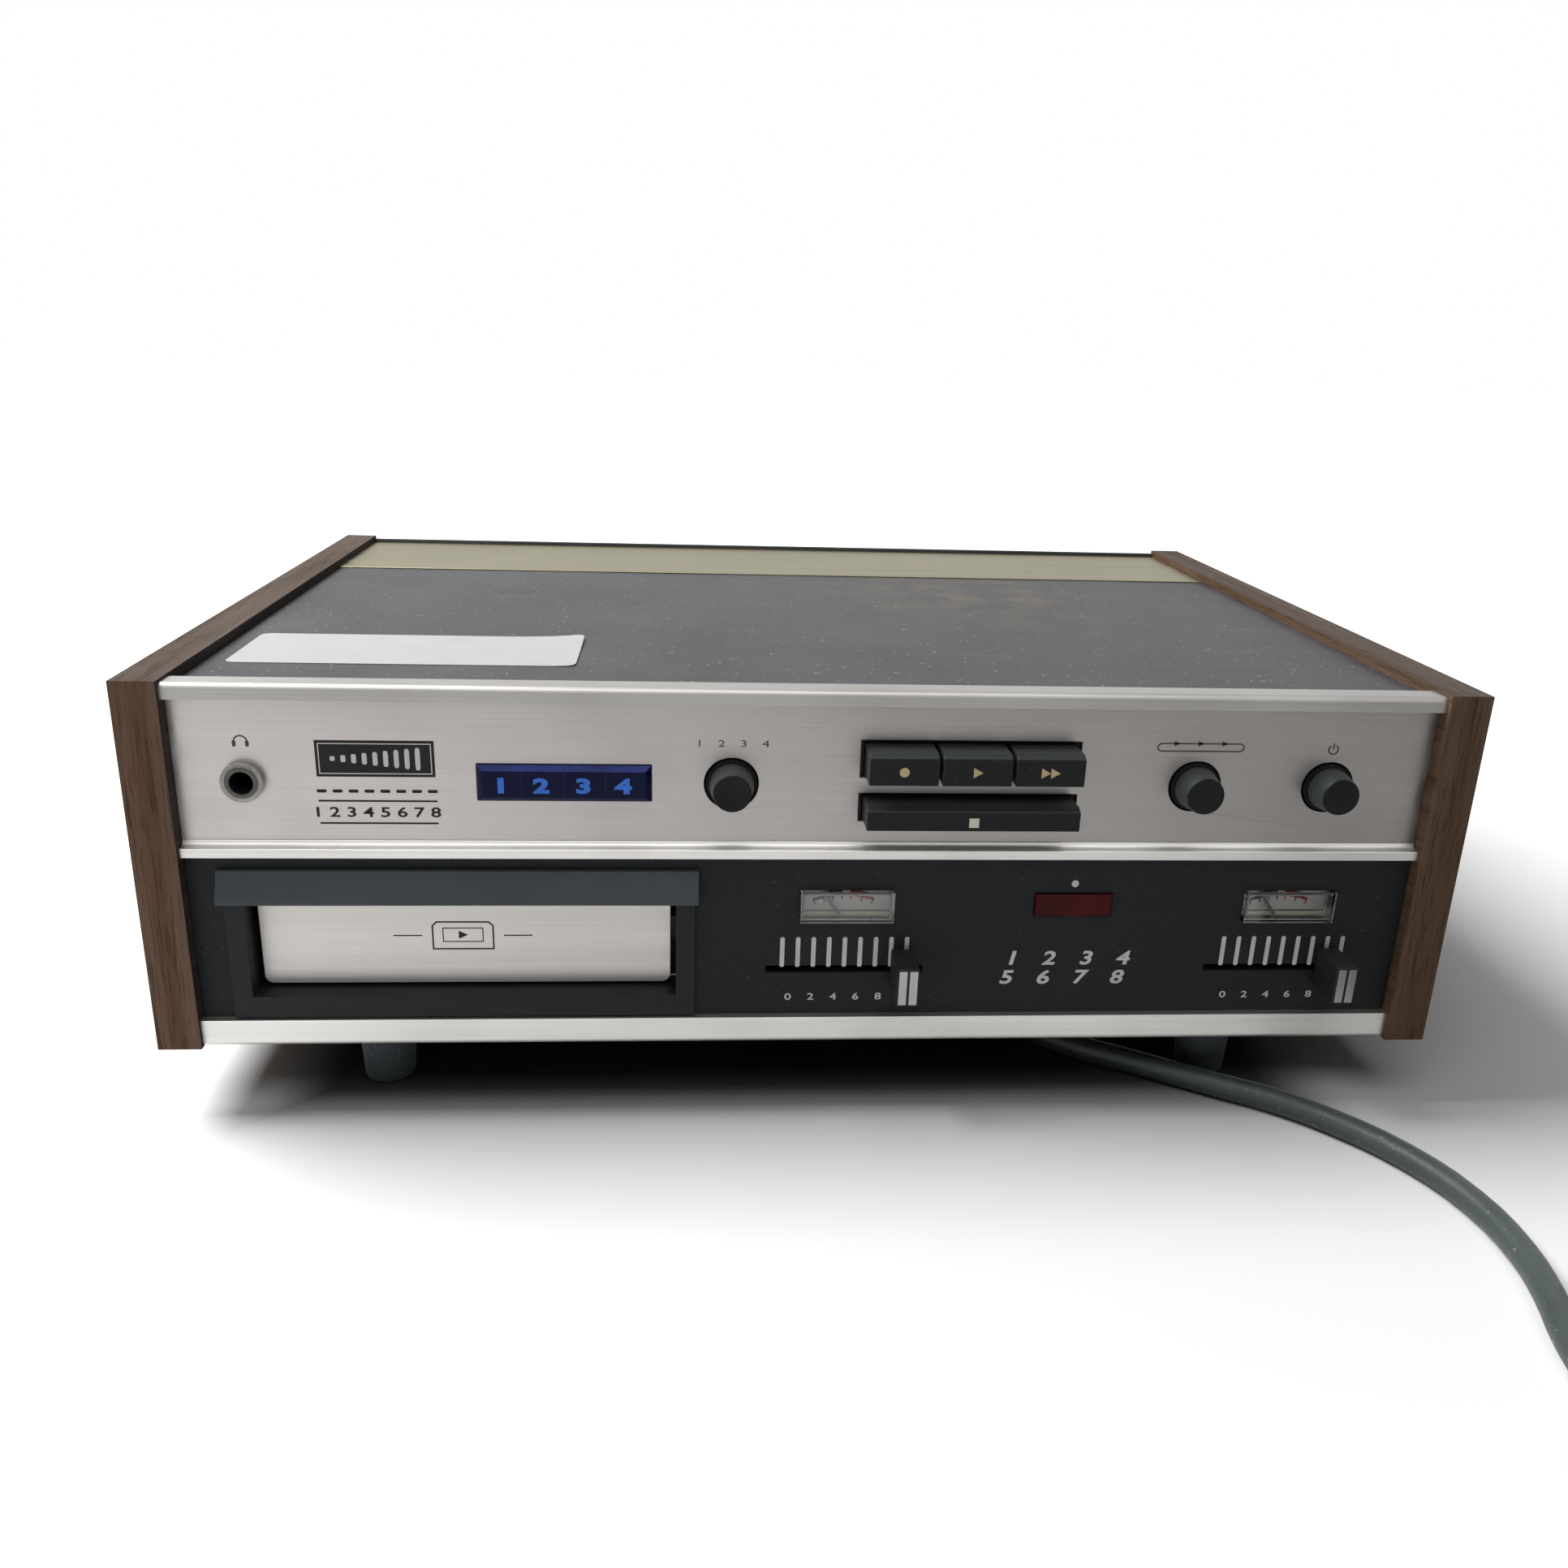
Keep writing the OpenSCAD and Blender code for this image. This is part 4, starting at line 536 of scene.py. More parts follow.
BOARD = Layered("phenolic_paper_board", "#5d5a34", 0.45, "#4c4a2b", 1.6, "X")
RUBBER = SoftRubber("moulded_rubber_foot", "#3f4649", 0.6, "#565d60")
BELT = SoftRubber("ground_belt_rubber", "#161616", 0.55, "#242424")
VINYL = SoftRubber("grey_cord_vinyl", "#3f4845", 0.42, "#545e5b", sheen=0.05, gloss=0.4)
TIE_PLASTIC = MouldedPlastic("black_nylon_tie", "#151617", 0.45, "#222425", 0.5, 0.3)
PAPER = Printed("coated_label_paper", "#b1b2b3", 0.6, "#a5a29b", 0.35, 14.0)
BLACK_INK = Printed("black_fascia_ink", "#1c1b1d", 0.45, "#3a3838", 0.3)
GREY_INK = Printed("grey_fascia_ink", "#4f4d4d", 0.5, "#6a6766", 0.4)
WHITE_INK = Printed("white_panel_ink", "#cfcfc9", 0.5, "#9c9c96", 0.35)
GOLD_INK = Printed("gold_key_ink", "#c9b48a", 0.45, "#a08d66", 0.35)
CREAM_INK = Printed("cream_key_ink", "#d9d4c4", 0.45, "#b0ab9c", 0.3)
BLUE_INK = Printed("blue_window_ink", "#3f7be0", 0.45, "#2c5cc0", 0.3)
BLUE_LINE = Printed("dim_blue_divider", "#232c66", 0.4, "#1b2252", 0.3)
SCALE_GREY = Printed("meter_scale_grey", "#cac8cd", 0.5, "#b2b0b6", 0.3)
SCALE_DARK = Printed("meter_scale_dark", "#4a4245", 0.5, "#3c3539", 0.3)
SCALE_TAN = Printed("meter_scale_tan", "#e9dfcf", 0.5, "#cfc5b4", 0.35)
SCALE_RED = Printed("meter_scale_red", "#93333a", 0.5, "#74292f", 0.3)


# ---------- making pieces ----------

def piece(name: str, mesh: bpy.types.Mesh, *finishes: Finish) -> Piece:
    """Put a mesh into the scene as a piece with its finishes in the order of its slots."""
    made = shown(name, mesh)
    numbers = [face.material_index for face in mesh.polygons]
    mesh.materials.clear()
    for finish in finishes:
        mesh.materials.append(finish.material())
    mesh.polygons.foreach_set("material_index", numbers)
    return made


def settle(made: Piece) -> Piece:
    """Turn a piece and its modifiers into a plain mesh."""
    depsgraph = bpy.context.evaluated_depsgraph_get()
    mesh = bpy.data.meshes.new_from_object(
        made.evaluated_get(depsgraph), preserve_all_data_layers=True, depsgraph=depsgraph)
    made.modifiers.clear()
    made.data = mesh
    return made


def smooth(made: Piece, angle: float = SHARP_ANGLE) -> Piece:
    """Shade a piece smooth, but for edges sharper than an angle in degrees."""
    made.data.shade_smooth()
    made.data.set_sharp_from_angle(angle=math.radians(angle))
    return made


def dressed(node: str, *finishes: Finish, edge: float = 0.3, name: str = "",
            split: Callable[[Vector], int] | None = None) -> Piece:
    """Copy a solid's mesh and break its edges, as the real piece's are.

    Args:
        node: The solid's name.
        finishes: Its finishes, in the order of the numbers that split gives.
        edge: Millimetres that the edges are rounded over.
        name: The piece's name, if it isn't the node's with "_finished".
        split: Gives the number of the finish of a face from its middle in case mm.

    Returns:
        The finished piece.
    """
    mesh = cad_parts[node].data.copy()
    work = bmesh.new()
    work.from_mesh(mesh)
    bmesh.ops.remove_doubles(work, verts=work.verts, dist=MERGE)
    bmesh.ops.dissolve_limit(work, angle_limit=math.radians(FLAT_ANGLE), verts=work.verts,
                             edges=work.edges)
    bmesh.ops.triangulate(work, faces=[face for face in work.faces if len(face.verts) > 4])
    for face in work.faces:
        middle = face.calc_center_median() * 1000 - Vector((0, FRONT_Y, BASE_Z))
        face.material_index = split(middle) if split else 0
    work.to_mesh(mesh)
    work.free()
    made = smooth(piece(name or node + "_finished", mesh, *finishes))
    if edge:
        bevel = made.modifiers.new("broken_edges", "BEVEL")
        bevel.width = edge / 1000
        bevel.segments = 2
        bevel.limit_method = "ANGLE"
        bevel.angle_limit = math.radians(SHARP_ANGLE)
        flat = made.modifiers.new("flat_faces_stay_flat", "WEIGHTED_NORMAL")
        flat.keep_sharp = True
    return settle(made)


def place(made: Piece, body: str, slot: str, *stands_for: str) -> Piece:
    """Give a finished piece to its body, hide the solids that it stands for, and report it.

    Args:
        made: The piece.
        body: The CAD body that it moves with.
        slot: Not used.
        stands_for: The CAD nodes that it replaces.

    Returns:
        The same piece.
    """
    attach(made, body)
    if stands_for:
        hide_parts(*stands_for)
    LOG.info("%s on %s: %d faces", made.name, body,
             len(made.data.polygons) if made.type == "MESH" else 0)
    return made


def clad(node: str, body: str, slot: str, *finishes: Finish, edge: float = 0.3, name: str = "",
         split: Callable[[Vector], int] | None = None) -> Piece:
    """Dress one solid and give the piece to its body; see dressed and place."""
    return place(dressed(node, *finishes, edge=edge, name=name, split=split), body, slot, node)


def from_work(name: str, work: bmesh.types.BMesh) -> bpy.types.Mesh:
    """Turn the work into a mesh and end it."""
    mesh = bpy.data.meshes.new(name)
    work.to_mesh(mesh)
    work.free()
    return mesh


def repaint(finish: Finish, *nodes: str) -> None:
    """Give solids that keep their own shape a finish."""
    for node in nodes:
        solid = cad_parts[node]
        for slot in solid.material_slots:
            slot.material = finish.material()
        LOG.info("%s keeps its shape, in %s", node, finish.name)


def lathed(name: str, profile: Sequence[Pair], foot: Vector, axis: Vector,
           *finishes: Finish, sides: int = 64, marks: Sequence[int] = ()) -> Piece:
    """Turn a profile about an axis.

    Args:
        name: The piece's name.
        profile: Radius and distance along the axis in mm, from end to end; a radius of 0
            closes an end.
        foot: Where distance 0 lies, in metres.
        axis: The way that distances go.
        finishes: The finishes.
        sides: Faces round the piece.
        marks: For each step of the profile the number of its finish.

    Returns:
        The piece, its faces pointing outwards.
    """
    turn = axis.normalized().to_track_quat("Z", "Y").to_matrix()
    work = bmesh.new()
    rings = []
    for radius, along in profile:
        if radius == 0:
            rings.append([work.verts.new(foot + turn @ Vector((0, 0, along / 1000)))])
            continue
        rings.append([work.verts.new(foot + turn @ Vector((
            radius / 1000 * math.cos(math.tau * i / sides),
            radius / 1000 * math.sin(math.tau * i / sides), along / 1000)))
            for i in range(sides)])
    for step, (one, two) in enumerate(zip(rings, rings[1:])):
        for i in range(sides):
            j = (i + 1) % sides
            corners = [one[i % len(one)], one[j % len(one)], two[j % len(two)], two[i % len(two)]]
            corners = list(dict.fromkeys(corners))
            if len(corners) > 2:
                work.faces.new(corners).material_index = marks[step] if marks else 0
    bmesh.ops.recalc_face_normals(work, faces=work.faces)
    return smooth(piece(name, from_work(name, work), *finishes), ROUND_ANGLE)


@dataclass
class Marks:
    """Thin printed or stamped marks on one flat face, gathered into one mesh.

    Marks are drawn in mm across and up from an origin on the face, and stand a hair proud.
    """

    origin: Vector
    across: Vector = field(default_factory=lambda: Vector((1, 0, 0)))
    up: Vector = field(default_factory=lambda: Vector((0, 0, 1)))
    sunk: float = 0.02      # mm that a mark's back lies inside the face
    proud: float = 0.05     # mm that its front stands out
    lean: float = 0.0       # mm that a mark leans to the right for each mm of height
    corner_steps: int = 4   # flat pieces round a bar's corner
    disc_sides: int = 24
    arc_step: float = 10.0  # degrees in one piece of an arc
    mitre: float = 0.4      # how far a sharp bend may stretch the line's corner
    shapes: list[tuple[list[Vector], list[tuple[int, ...]], int]] = field(default_factory=list)

    def at(self, u: float, v: float, out: float) -> Vector:
        """Give the point at a place on the face, in metres."""
        normal = self.across.cross(self.up)
        return self.origin + ((u + self.lean * v) * self.across + v * self.up
                              + out * normal) / 1000

    def outline(self, points: Sequence[Pair], finish: int = 0) -> None:
        """Draw a filled shape, given its corners anticlockwise."""
        n = len(points)
        area = sum(points[i - 1][0] * points[i][1] - points[i][0] * points[i - 1][1]
                   for i in range(n))
        ordered = list(points) if area > 0 else list(points)[::-1]
        back = [self.at(u, v, -self.sunk) for u, v in ordered]
        front = [self.at(u, v, self.proud) for u, v in ordered]
        faces = [tuple(range(n, 2 * n)), tuple(range(n))[::-1]]
        faces += [(i, (i + 1) % n, n + (i + 1) % n, n + i) for i in range(n)]
        self.shapes.append((back + front, faces, finish))

    def bar(self, u: float, v: float, width: float, height: float, finish: int = 0,
            corner: float = 0.0) -> None:
        """Draw a bar round its middle, its corners rounded if asked."""
        if not corner:
            self.outline([(u + a * width / 2, v + b * height / 2)
                          for a, b in ((-1, -1), (1, -1), (1, 1), (-1, 1))], finish)
            return
        points = []
        for k, (a, b) in enumerate(((1, 1), (-1, 1), (-1, -1), (1, -1))):
            for step in range(self.corner_steps + 1):
                turn = math.radians(90 * (k + step / self.corner_steps))
                points.append((u + a * (width / 2 - corner) + corner * math.cos(turn),
                               v + b * (height / 2 - corner) + corner * math.sin(turn)))
        self.outline(points, finish)

    def stroke(self, points: Sequence[Pair], width: float, closed: bool = False,
               finish: int = 0) -> None:
        """Draw a line of one width through points, its corners mitred."""
        n = len(points)
        sides: list[tuple[Pair, Pair]] = []
        for i, here in enumerate(points):
            before = points[i - 1] if i or closed else here
            after = points[(i + 1) % n] if i < n - 1 or closed else here
            one = Vector(here) - Vector(before)
            two = Vector(after) - Vector(here)
            one = one.normalized() if one.length else two.normalized()
            two = two.normalized() if two.length else one
            way = (one + two).normalized()
            normal = Vector((-way.y, way.x)) * (width / 2 / max(self.mitre, way.dot(one)))
            sides.append((tuple(Vector(here) + normal), tuple(Vector(here) - normal)))
        for i in range(n if closed else n - 1):
            (a, b), (c, d) = sides[i], sides[(i + 1) % n]
            self.outline([b, d, c, a], finish)

    def disc(self, u: float, v: float, radius: float, finish: int = 0) -> None:
        """Draw a filled circle."""
        turns = [math.tau * i / self.disc_sides for i in range(self.disc_sides)]
        self.outline([(u + radius * math.cos(a), v + radius * math.sin(a)) for a in turns], finish)

    def arc(self, u: float, v: float, radius: float, start: float, end: float, width: float,
            finish: int = 0) -> None:
        """Draw part of a ring from one angle to another, in degrees anticlockwise."""
        count = max(6, int(abs(end - start) / self.arc_step))
        angles = [math.radians(start + (end - start) * i / count) for i in range(count + 1)]
        self.stroke([(u + radius * math.cos(a), v + radius * math.sin(a)) for a in angles],
                    width, False, finish)

    def figures(self, text: str, u: float, v: float, height: float, wide: float = 1.0,
                bold: float = 0.0, finish: int = 0) -> None:
        """Draw plain figures round a middle, as high as asked.

        Args:
            text: The figures.
            u: Millimetres across to their middle.
            v: Millimetres up to their middle.
            height: Their height in mm.
            wide: How much wider they are than the plain letter.
            bold: Millimetres that each stroke is thickened.
            finish: The number of their finish.
        """
        curve = bpy.data.curves.new("figures", "FONT")
        curve.body = text
        curve.size = height / CAPITAL
        curve.offset = bold / wide
        curve.resolution_u = 3
        drawn = shown("figures", curve)
        mesh = bpy.data.meshes.new_from_object(
            drawn.evaluated_get(bpy.context.evaluated_depsgraph_get()))
        bpy.data.objects.remove(drawn)
        low = [min(p.co[k] for p in mesh.vertices) for k in (0, 1)]
        high = [max(p.co[k] for p in mesh.vertices) for k in (0, 1)]
        flat = bmesh.new()
        flat.from_mesh(mesh)
        bpy.data.meshes.remove(mesh)
        bmesh.ops.remove_doubles(flat, verts=flat.verts, dist=1e-5)
        solid = bmesh.ops.extrude_face_region(flat, geom=flat.faces[:])
        top = {corner for corner in solid["geom"] if isinstance(corner, bmesh.types.BMVert)}
        flat.verts.index_update()
        points = [self.at(u + (p.co.x - (low[0] + high[0]) / 2) * wide,
                          v + p.co.y - (low[1] + high[1]) / 2,
                          self.proud if p in top else -self.sunk) for p in flat.verts]
        faces = [tuple(p.index for p in face.verts) for face in flat.faces]
        flat.free()
        self.shapes.append((points, faces, finish))

    def made(self, name: str, *finishes: Finish) -> Piece:
        """Gather the marks into one piece, its faces pointing outwards."""
        verts: list[Vector] = []
        faces: list[tuple[int, ...]] = []
        numbers: list[int] = []
        for points, corners, finish in self.shapes:
            faces += [tuple(len(verts) + i for i in face) for face in corners]
            numbers += [finish] * len(corners)
            verts += points
        mesh = bpy.data.meshes.new(name)
        mesh.from_pydata(verts, [], faces)
        mesh.polygons.foreach_set("material_index", numbers)
        work = bmesh.new()
        work.from_mesh(mesh)
        bmesh.ops.recalc_face_normals(work, faces=work.faces)
        work.to_mesh(mesh)
        work.free()
        return piece(name, mesh, *finishes)


# ---------- what repeats ----------

@dataclass
class Repeats:
    """Geometry Nodes trees for the pieces that repeat: rows of bars, ribs and screw crowns."""

    def tree(self, name: str, **inputs: str) -> tuple[Tree, dict]:
        """Begin a tree with named inputs.

        Args:
            name: The tree's name.
            inputs: The names of the inputs of each kind of socket, with spaces between them.

        Returns:
            The tree and its input sockets by name.
        """
        tree = bpy.data.node_groups.new(name, "GeometryNodeTree")
        tree.interface.new_socket("Geometry", in_out="INPUT", socket_type="NodeSocketGeometry")
        for kind, labels in inputs.items():
            for label in labels.split():
                tree.interface.new_socket(label, in_out="INPUT", socket_type="NodeSocket" + kind)
        tree.interface.new_socket("Geometry", in_out="OUTPUT", socket_type="NodeSocketGeometry")
        given = add(tree, "NodeGroupInput")
        return tree, {socket.name: socket for socket in given.outputs if socket.name}

    def end(self, tree: Tree, given: dict, **inputs: Socket) -> Tree:
        """Set an instance on each point, realize them, set their material and end the tree."""
        row_of = add(tree, "GeometryNodeInstanceOnPoints", inputs=inputs)
        real = add(tree, "GeometryNodeRealizeInstances", inputs={"Geometry": row_of.outputs[0]})
        painted = add(tree, "GeometryNodeSetMaterial",
                      inputs={"Geometry": real.outputs[0], "Material": given["Finish"]})
        add(tree, "NodeGroupOutput", inputs={"Geometry": painted.outputs[0]})
        return tree

    def in_row(self, tree: Tree, given: dict, axis: str, shape: Socket, size: Socket) -> Tree:
        """Repeat a shape in a row along an axis, each one at its own size; see end."""
        step = add(tree, "ShaderNodeCombineXYZ", inputs={axis: given["Pitch"]})
        line = add(tree, "GeometryNodeMeshLine", {"mode": "OFFSET"},
                   {"Count": given["Count"], "Offset": step.outputs[0]})
        return self.end(tree, given, Points=line.outputs[0], Instance=shape, Scale=size)

    def bars(self) -> Tree:
        """Build the tree for a row of flat bars with rounded corners, rising if asked."""
        tree, given = self.tree("row_of_bars", Int="Count", Material="Finish",
                                Float="Pitch Width Height Corner Rise Thickness")
        outline = add(tree, "GeometryNodeCurvePrimitiveQuadrilateral",
                      inputs={"Width": given["Width"], "Height": given["Height"]})
        soft = add(tree, "GeometryNodeFilletCurve", {"mode": "POLY"}, {
            "Curve": outline.outputs[0], "Count": 3, "Radius": given["Corner"],
            "Limit Radius": True})
        face = add(tree, "GeometryNodeFillCurve", {"mode": "NGONS"}, {"Curve": soft.outputs[0]})
        front = add(tree, "GeometryNodeExtrudeMesh", inputs={
            "Mesh": face.outputs[0], "Offset Scale": given["Thickness"]})
        back = add(tree, "GeometryNodeFlipFaces", inputs={"Mesh": face.outputs[0]})
        whole = add(tree, "GeometryNodeJoinGeometry", inputs={"Geometry": front.outputs[0]})
        tree.links.new(back.outputs[0], whole.inputs[0])
        closed = add(tree, "GeometryNodeMergeByDistance", inputs={
            "Geometry": whole.outputs[0], "Distance": 1e-6})
        number = add(tree, "GeometryNodeInputIndex")
        grown = add(tree, "ShaderNodeMath", {"operation": "MULTIPLY_ADD"},
                    {0: number.outputs[0], 1: given["Rise"], 2: 1.0})
        size = add(tree, "ShaderNodeCombineXYZ", inputs={"X": 1.0, "Y": grown.outputs[0],
                                                         "Z": 1.0})
        return self.in_row(tree, given, "X", closed.outputs[0], size.outputs[0])

    def ribs(self) -> Tree:
        """Build the tree for round ribs along a cone."""
        tree, given = self.tree("row_of_ribs", Int="Count", Material="Finish",
                                Float="Pitch Radius Narrowing Thickness")
        ring, section = (add(tree, "GeometryNodeCurvePrimitiveCircle", inputs={
            "Resolution": sides, "Radius": given[radius]}).outputs[0]
            for sides, radius in ((40, "Radius"), (8, "Thickness")))
        rib = add(tree, "GeometryNodeCurveToMesh",
                  inputs={"Curve": ring, "Profile Curve": section})
        number = add(tree, "GeometryNodeInputIndex")
        less = counted(tree, "MULTIPLY", number.outputs[0], given["Narrowing"])
        return self.in_row(tree, given, "Z", rib.outputs[0], counted(tree, "SUBTRACT", 1.0, less))

    def crowns(self) -> Tree:
        """Build the tree that sets one head on each point, turned at random about its axis."""
        tree, given = self.tree("screw_crowns", Object="Crown", Int="Seed", Material="Finish")
        head = add(tree, "GeometryNodeObjectInfo", inputs={"Object": given["Crown"]})
        facing = add(tree, "GeometryNodeInputNamedAttribute", {"data_type": "FLOAT_VECTOR"},
                     {"Name": "facing"})
        lean = add(tree, "FunctionNodeAlignRotationToVector", {"axis": "Z"},
                   {"Vector": facing.outputs[0]})
        spin = add(tree, "FunctionNodeRandomValue", {"data_type": "FLOAT"},
                   {"Seed": given["Seed"]})
        spin.inputs[3].default_value = math.tau
        turn = add(tree, "FunctionNodeAxisAngleToRotation", inputs={"Angle": spin.outputs[1]})
        both = add(tree, "FunctionNodeRotateRotation", {"rotation_space": "LOCAL"},
                   {"Rotation": lean.outputs[0], "Rotate By": turn.outputs[0]})
        return self.end(tree, given, Points=given["Geometry"],
                        Instance=head.outputs["Geometry"], Rotation=both.outputs[0])

    def grown(self, name: str, tree: Tree, values: dict, finish: Finish,
              put: Matrix | None = None, mesh: bpy.types.Mesh | None = None) -> Piece:
        """Grow a piece from a tree and make it a plain mesh.

        Args:
            name: The piece's name.
            tree: One of this class's trees.
            values: Its inputs by name.
            finish: The finish of what grows.
            put: Where the result goes.
            mesh: The mesh that it grows on, if any.

        Returns:
            The piece.
        """
        made = piece(name, mesh or bpy.data.meshes.new(name), finish)
        grow = made.modifiers.new(name, "NODES")
        grow.node_group = tree
        values = values | {"Finish": finish.material()}
        for item in tree.interface.items_tree:
            if item.item_type == "SOCKET" and item.in_out == "INPUT" and item.name in values:
                grow[item.identifier] = values[item.name]
        settle(made)
        if put is not None:
            made.data.transform(put)
        return made


# ---------- sub-assemblies ----------

def on_front(x: float, y: float, z: float) -> Matrix:
    """Lay a flat row on a front face, facing -Y, from a point of the case in mm."""
    return Matrix.Translation(row(x, y, z)) @ Matrix.Rotation(math.pi / 2, 4, "X")


@dataclass
class MainsLead:
    """The mains lead, from its strain relief to its plug, with the unseen length coiled."""

    radius: float = 3.75
    length: float = 1.8
    exit_at: Triple = (115.0, 262.2, 46.0)      # z above the floor
    coil_middle: Pair = (236.0, -110.0)
    coil_radius: float = 33.0
    coil_low: float = 3.948     # mm of the first turn's middle above the floor
    turn_gap: float = 8.0       # mm from the middle of one turn to the next
    turns: float = 4.25
    turn_steps: int = 16
    ease: float = 7.5           # mm that the lead runs straight before and after the coil
    relief_y: float = 237.0     # mm behind the front where the strain relief begins
    ribs_y: float = 246.2       # mm behind the front of its first rib
    plug_back: Triple = (281.5, -58.0, 8.5)
    plug_turn: float = 12.0
    plug_length: float = 38.0
    grip_from: float = 0.0155   # metres from the plug's back to its first rib
    grip_top: float = 16.98     # mm of the plug's top above the floor

    def outlet(self, y: float) -> Vector:
        """Give the point on the relief's axis that lies y mm behind the front, in metres."""
        return row(self.exit_at[0], y, self.exit_at[2] - BASE_Z)

    def lead(self) -> list[Triple]:
        """Give the route from the strain relief, under the deck and out past its front."""
        return [self.exit_at, (115, 265.95, 46), (115, 270, 45.5), (111, 284, 42),
                (99, 294, 35.5), (84, 298, 27), (68, 294, 18.5), (56, 283, 11), (51, 267, 5.8),
                (50, 250, 3.8), (50, 228, 3.8), (49, 205, 3.8), (49, 180, 3.8), (49, 155, 3.8),
                (50, 130, 3.8), (52, 106, 3.8), (56, 83, 3.8), (63, 61, 3.8), (74, 42.5, 3.8),
                (89, 28.5, 3.8), (101, 21, 3.8), (113.5, 13, 3.8), (126, 5, 3.8),
                (139, -3, 3.8), (153, -15.5, 3.8), (166, -33, 3.8), (173.5, -53, 3.8),
                (174.5, -74, 3.8), (171.5, -90, 3.8), (167.3, -103.5, 3.8),
                (165.3, -116.5, 3.8), (168, -131.5, 3.8), (175.5, -144.5, 3.8),
                (187, -154, 3.85), (201, -159.2, 3.9), (214, -160, 3.95)]

    def coil_point(self, turn: float) -> Triple:
        """Give the point of the coil after so many turns: inward, up a layer, outward."""
        past = turn - self.turns / 2
        radius = self.coil_radius + self.turn_gap * abs(past)
        height = self.coil_low + self.turn_gap * min(1.0, max(0.0, 2 * past + 0.5))
        angle = math.radians(360 * turn - 90)
        return (self.coil_middle[0] + radius * math.cos(angle),
                self.coil_middle[1] + radius * math.sin(angle), height)

    def route(self) -> list[Vector]:
        """Give every point of the lead, in metres."""
        count = int(self.turns * self.turn_steps)
        coil = [self.coil_point(i / self.turn_steps) for i in range(count + 1)]
        start, end = coil[0], coil[-1]
        points = [*self.lead(), (start[0] - self.ease, start[1], start[2]), *coil,
                  (end[0], end[1] + self.ease, end[2]), (285.9, -92, 11.7), (285, -80, 10.7),
                  (283.6, -69, 9.3), self.plug_back]
        return [Vector((x, y + FRONT_Y, z)) / 1000 for x, y, z in points]

    def cord(self) -> Piece:
        """Build the lead as one round curve through its route."""
        curve = bpy.data.curves.new("mains_lead", "CURVE")
        curve.dimensions = "3D"
        curve.bevel_depth = self.radius / 1000
        curve.bevel_resolution = 5
        curve.resolution_u = 3
        points = self.route()
        spline = curve.splines.new("BEZIER")
        spline.bezier_points.add(len(points) - 1)
        for knot, point in zip(spline.bezier_points, points):
            knot.co = point
            knot.handle_left_type = knot.handle_right_type = "AUTO"
        made = shown("mains_lead", curve)
        curve.materials.append(VINYL.material())
        return made

    def relief(self) -> Piece:
        """Turn the tapered strain relief, with a rounded flange against the rear panel."""
        return lathed("lead_strain_relief", [
            (0, 0), (7, 0), (7, 4.2), (8.6, 4.2), (9, 4.6), (9, 5.8), (8.6, 6.2), (7, 6.2),
            (6.6, 8.5), (4.7, 24.4), (4.45, 25.2), (3.6, 25.2), (3.6, 23), (0, 23)],
            self.outlet(self.relief_y), Vector((0, 1, 0)), RUBBER, sides=40)

    def build(self, repeats: Repeats) -> None:
        cord = self.cord()
        relief = self.relief()
        ribs = repeats.grown("strain_relief_ribs", repeats.ribs(), {
            "Count": 6, "Pitch": 0.0026, "Radius": 0.00645, "Narrowing": 0.048,
            "Thickness": 0.0006}, RUBBER,
            Matrix.Translation(self.outlet(self.ribs_y))
            @ Matrix.Rotation(-math.pi / 2, 4, "X"))
        turn = math.radians(self.plug_turn)
        ahead = Vector((-math.sin(turn), math.cos(turn), 0))
        back = Vector(self.plug_back) - Vector((0, 0, BASE_Z))
        plug = dressed("power_plug", CAP_BLACK, NICKEL, edge=1.2, name="mains_plug",
                       split=lambda p: int((p - back).dot(ahead) > self.plug_length + 0.1))
        grip = repeats.grown("plug_grip_ribs", repeats.bars(), {
            "Count": 7, "Pitch": 0.0026, "Width": 0.0012, "Height": 0.018, "Corner": 0.0005,
            "Rise": 0.0, "Thickness": 0.0006}, CAP_BLACK,
            Matrix.Translation(row(*self.plug_back[:2], self.grip_top - BASE_Z)
                               + ahead * self.grip_from)
            @ Matrix.Rotation(turn + math.pi / 2, 4, "Z"))
        tie = dressed("cord_tie", TIE_PLASTIC, edge=0.3, name="lead_tie")
        place(cord, "case", "cord_vinyl", "power_cord", "power_cord_coil")
        place(relief, "case", "relief_rubber", "strain_relief")
        place(ribs, "case", "relief_rubber")
        place(plug, "case", "cord_vinyl", "power_plug")
        place(grip, "case", "cord_vinyl")
        place(tie, "case", "tie_plastic", "cord_tie")


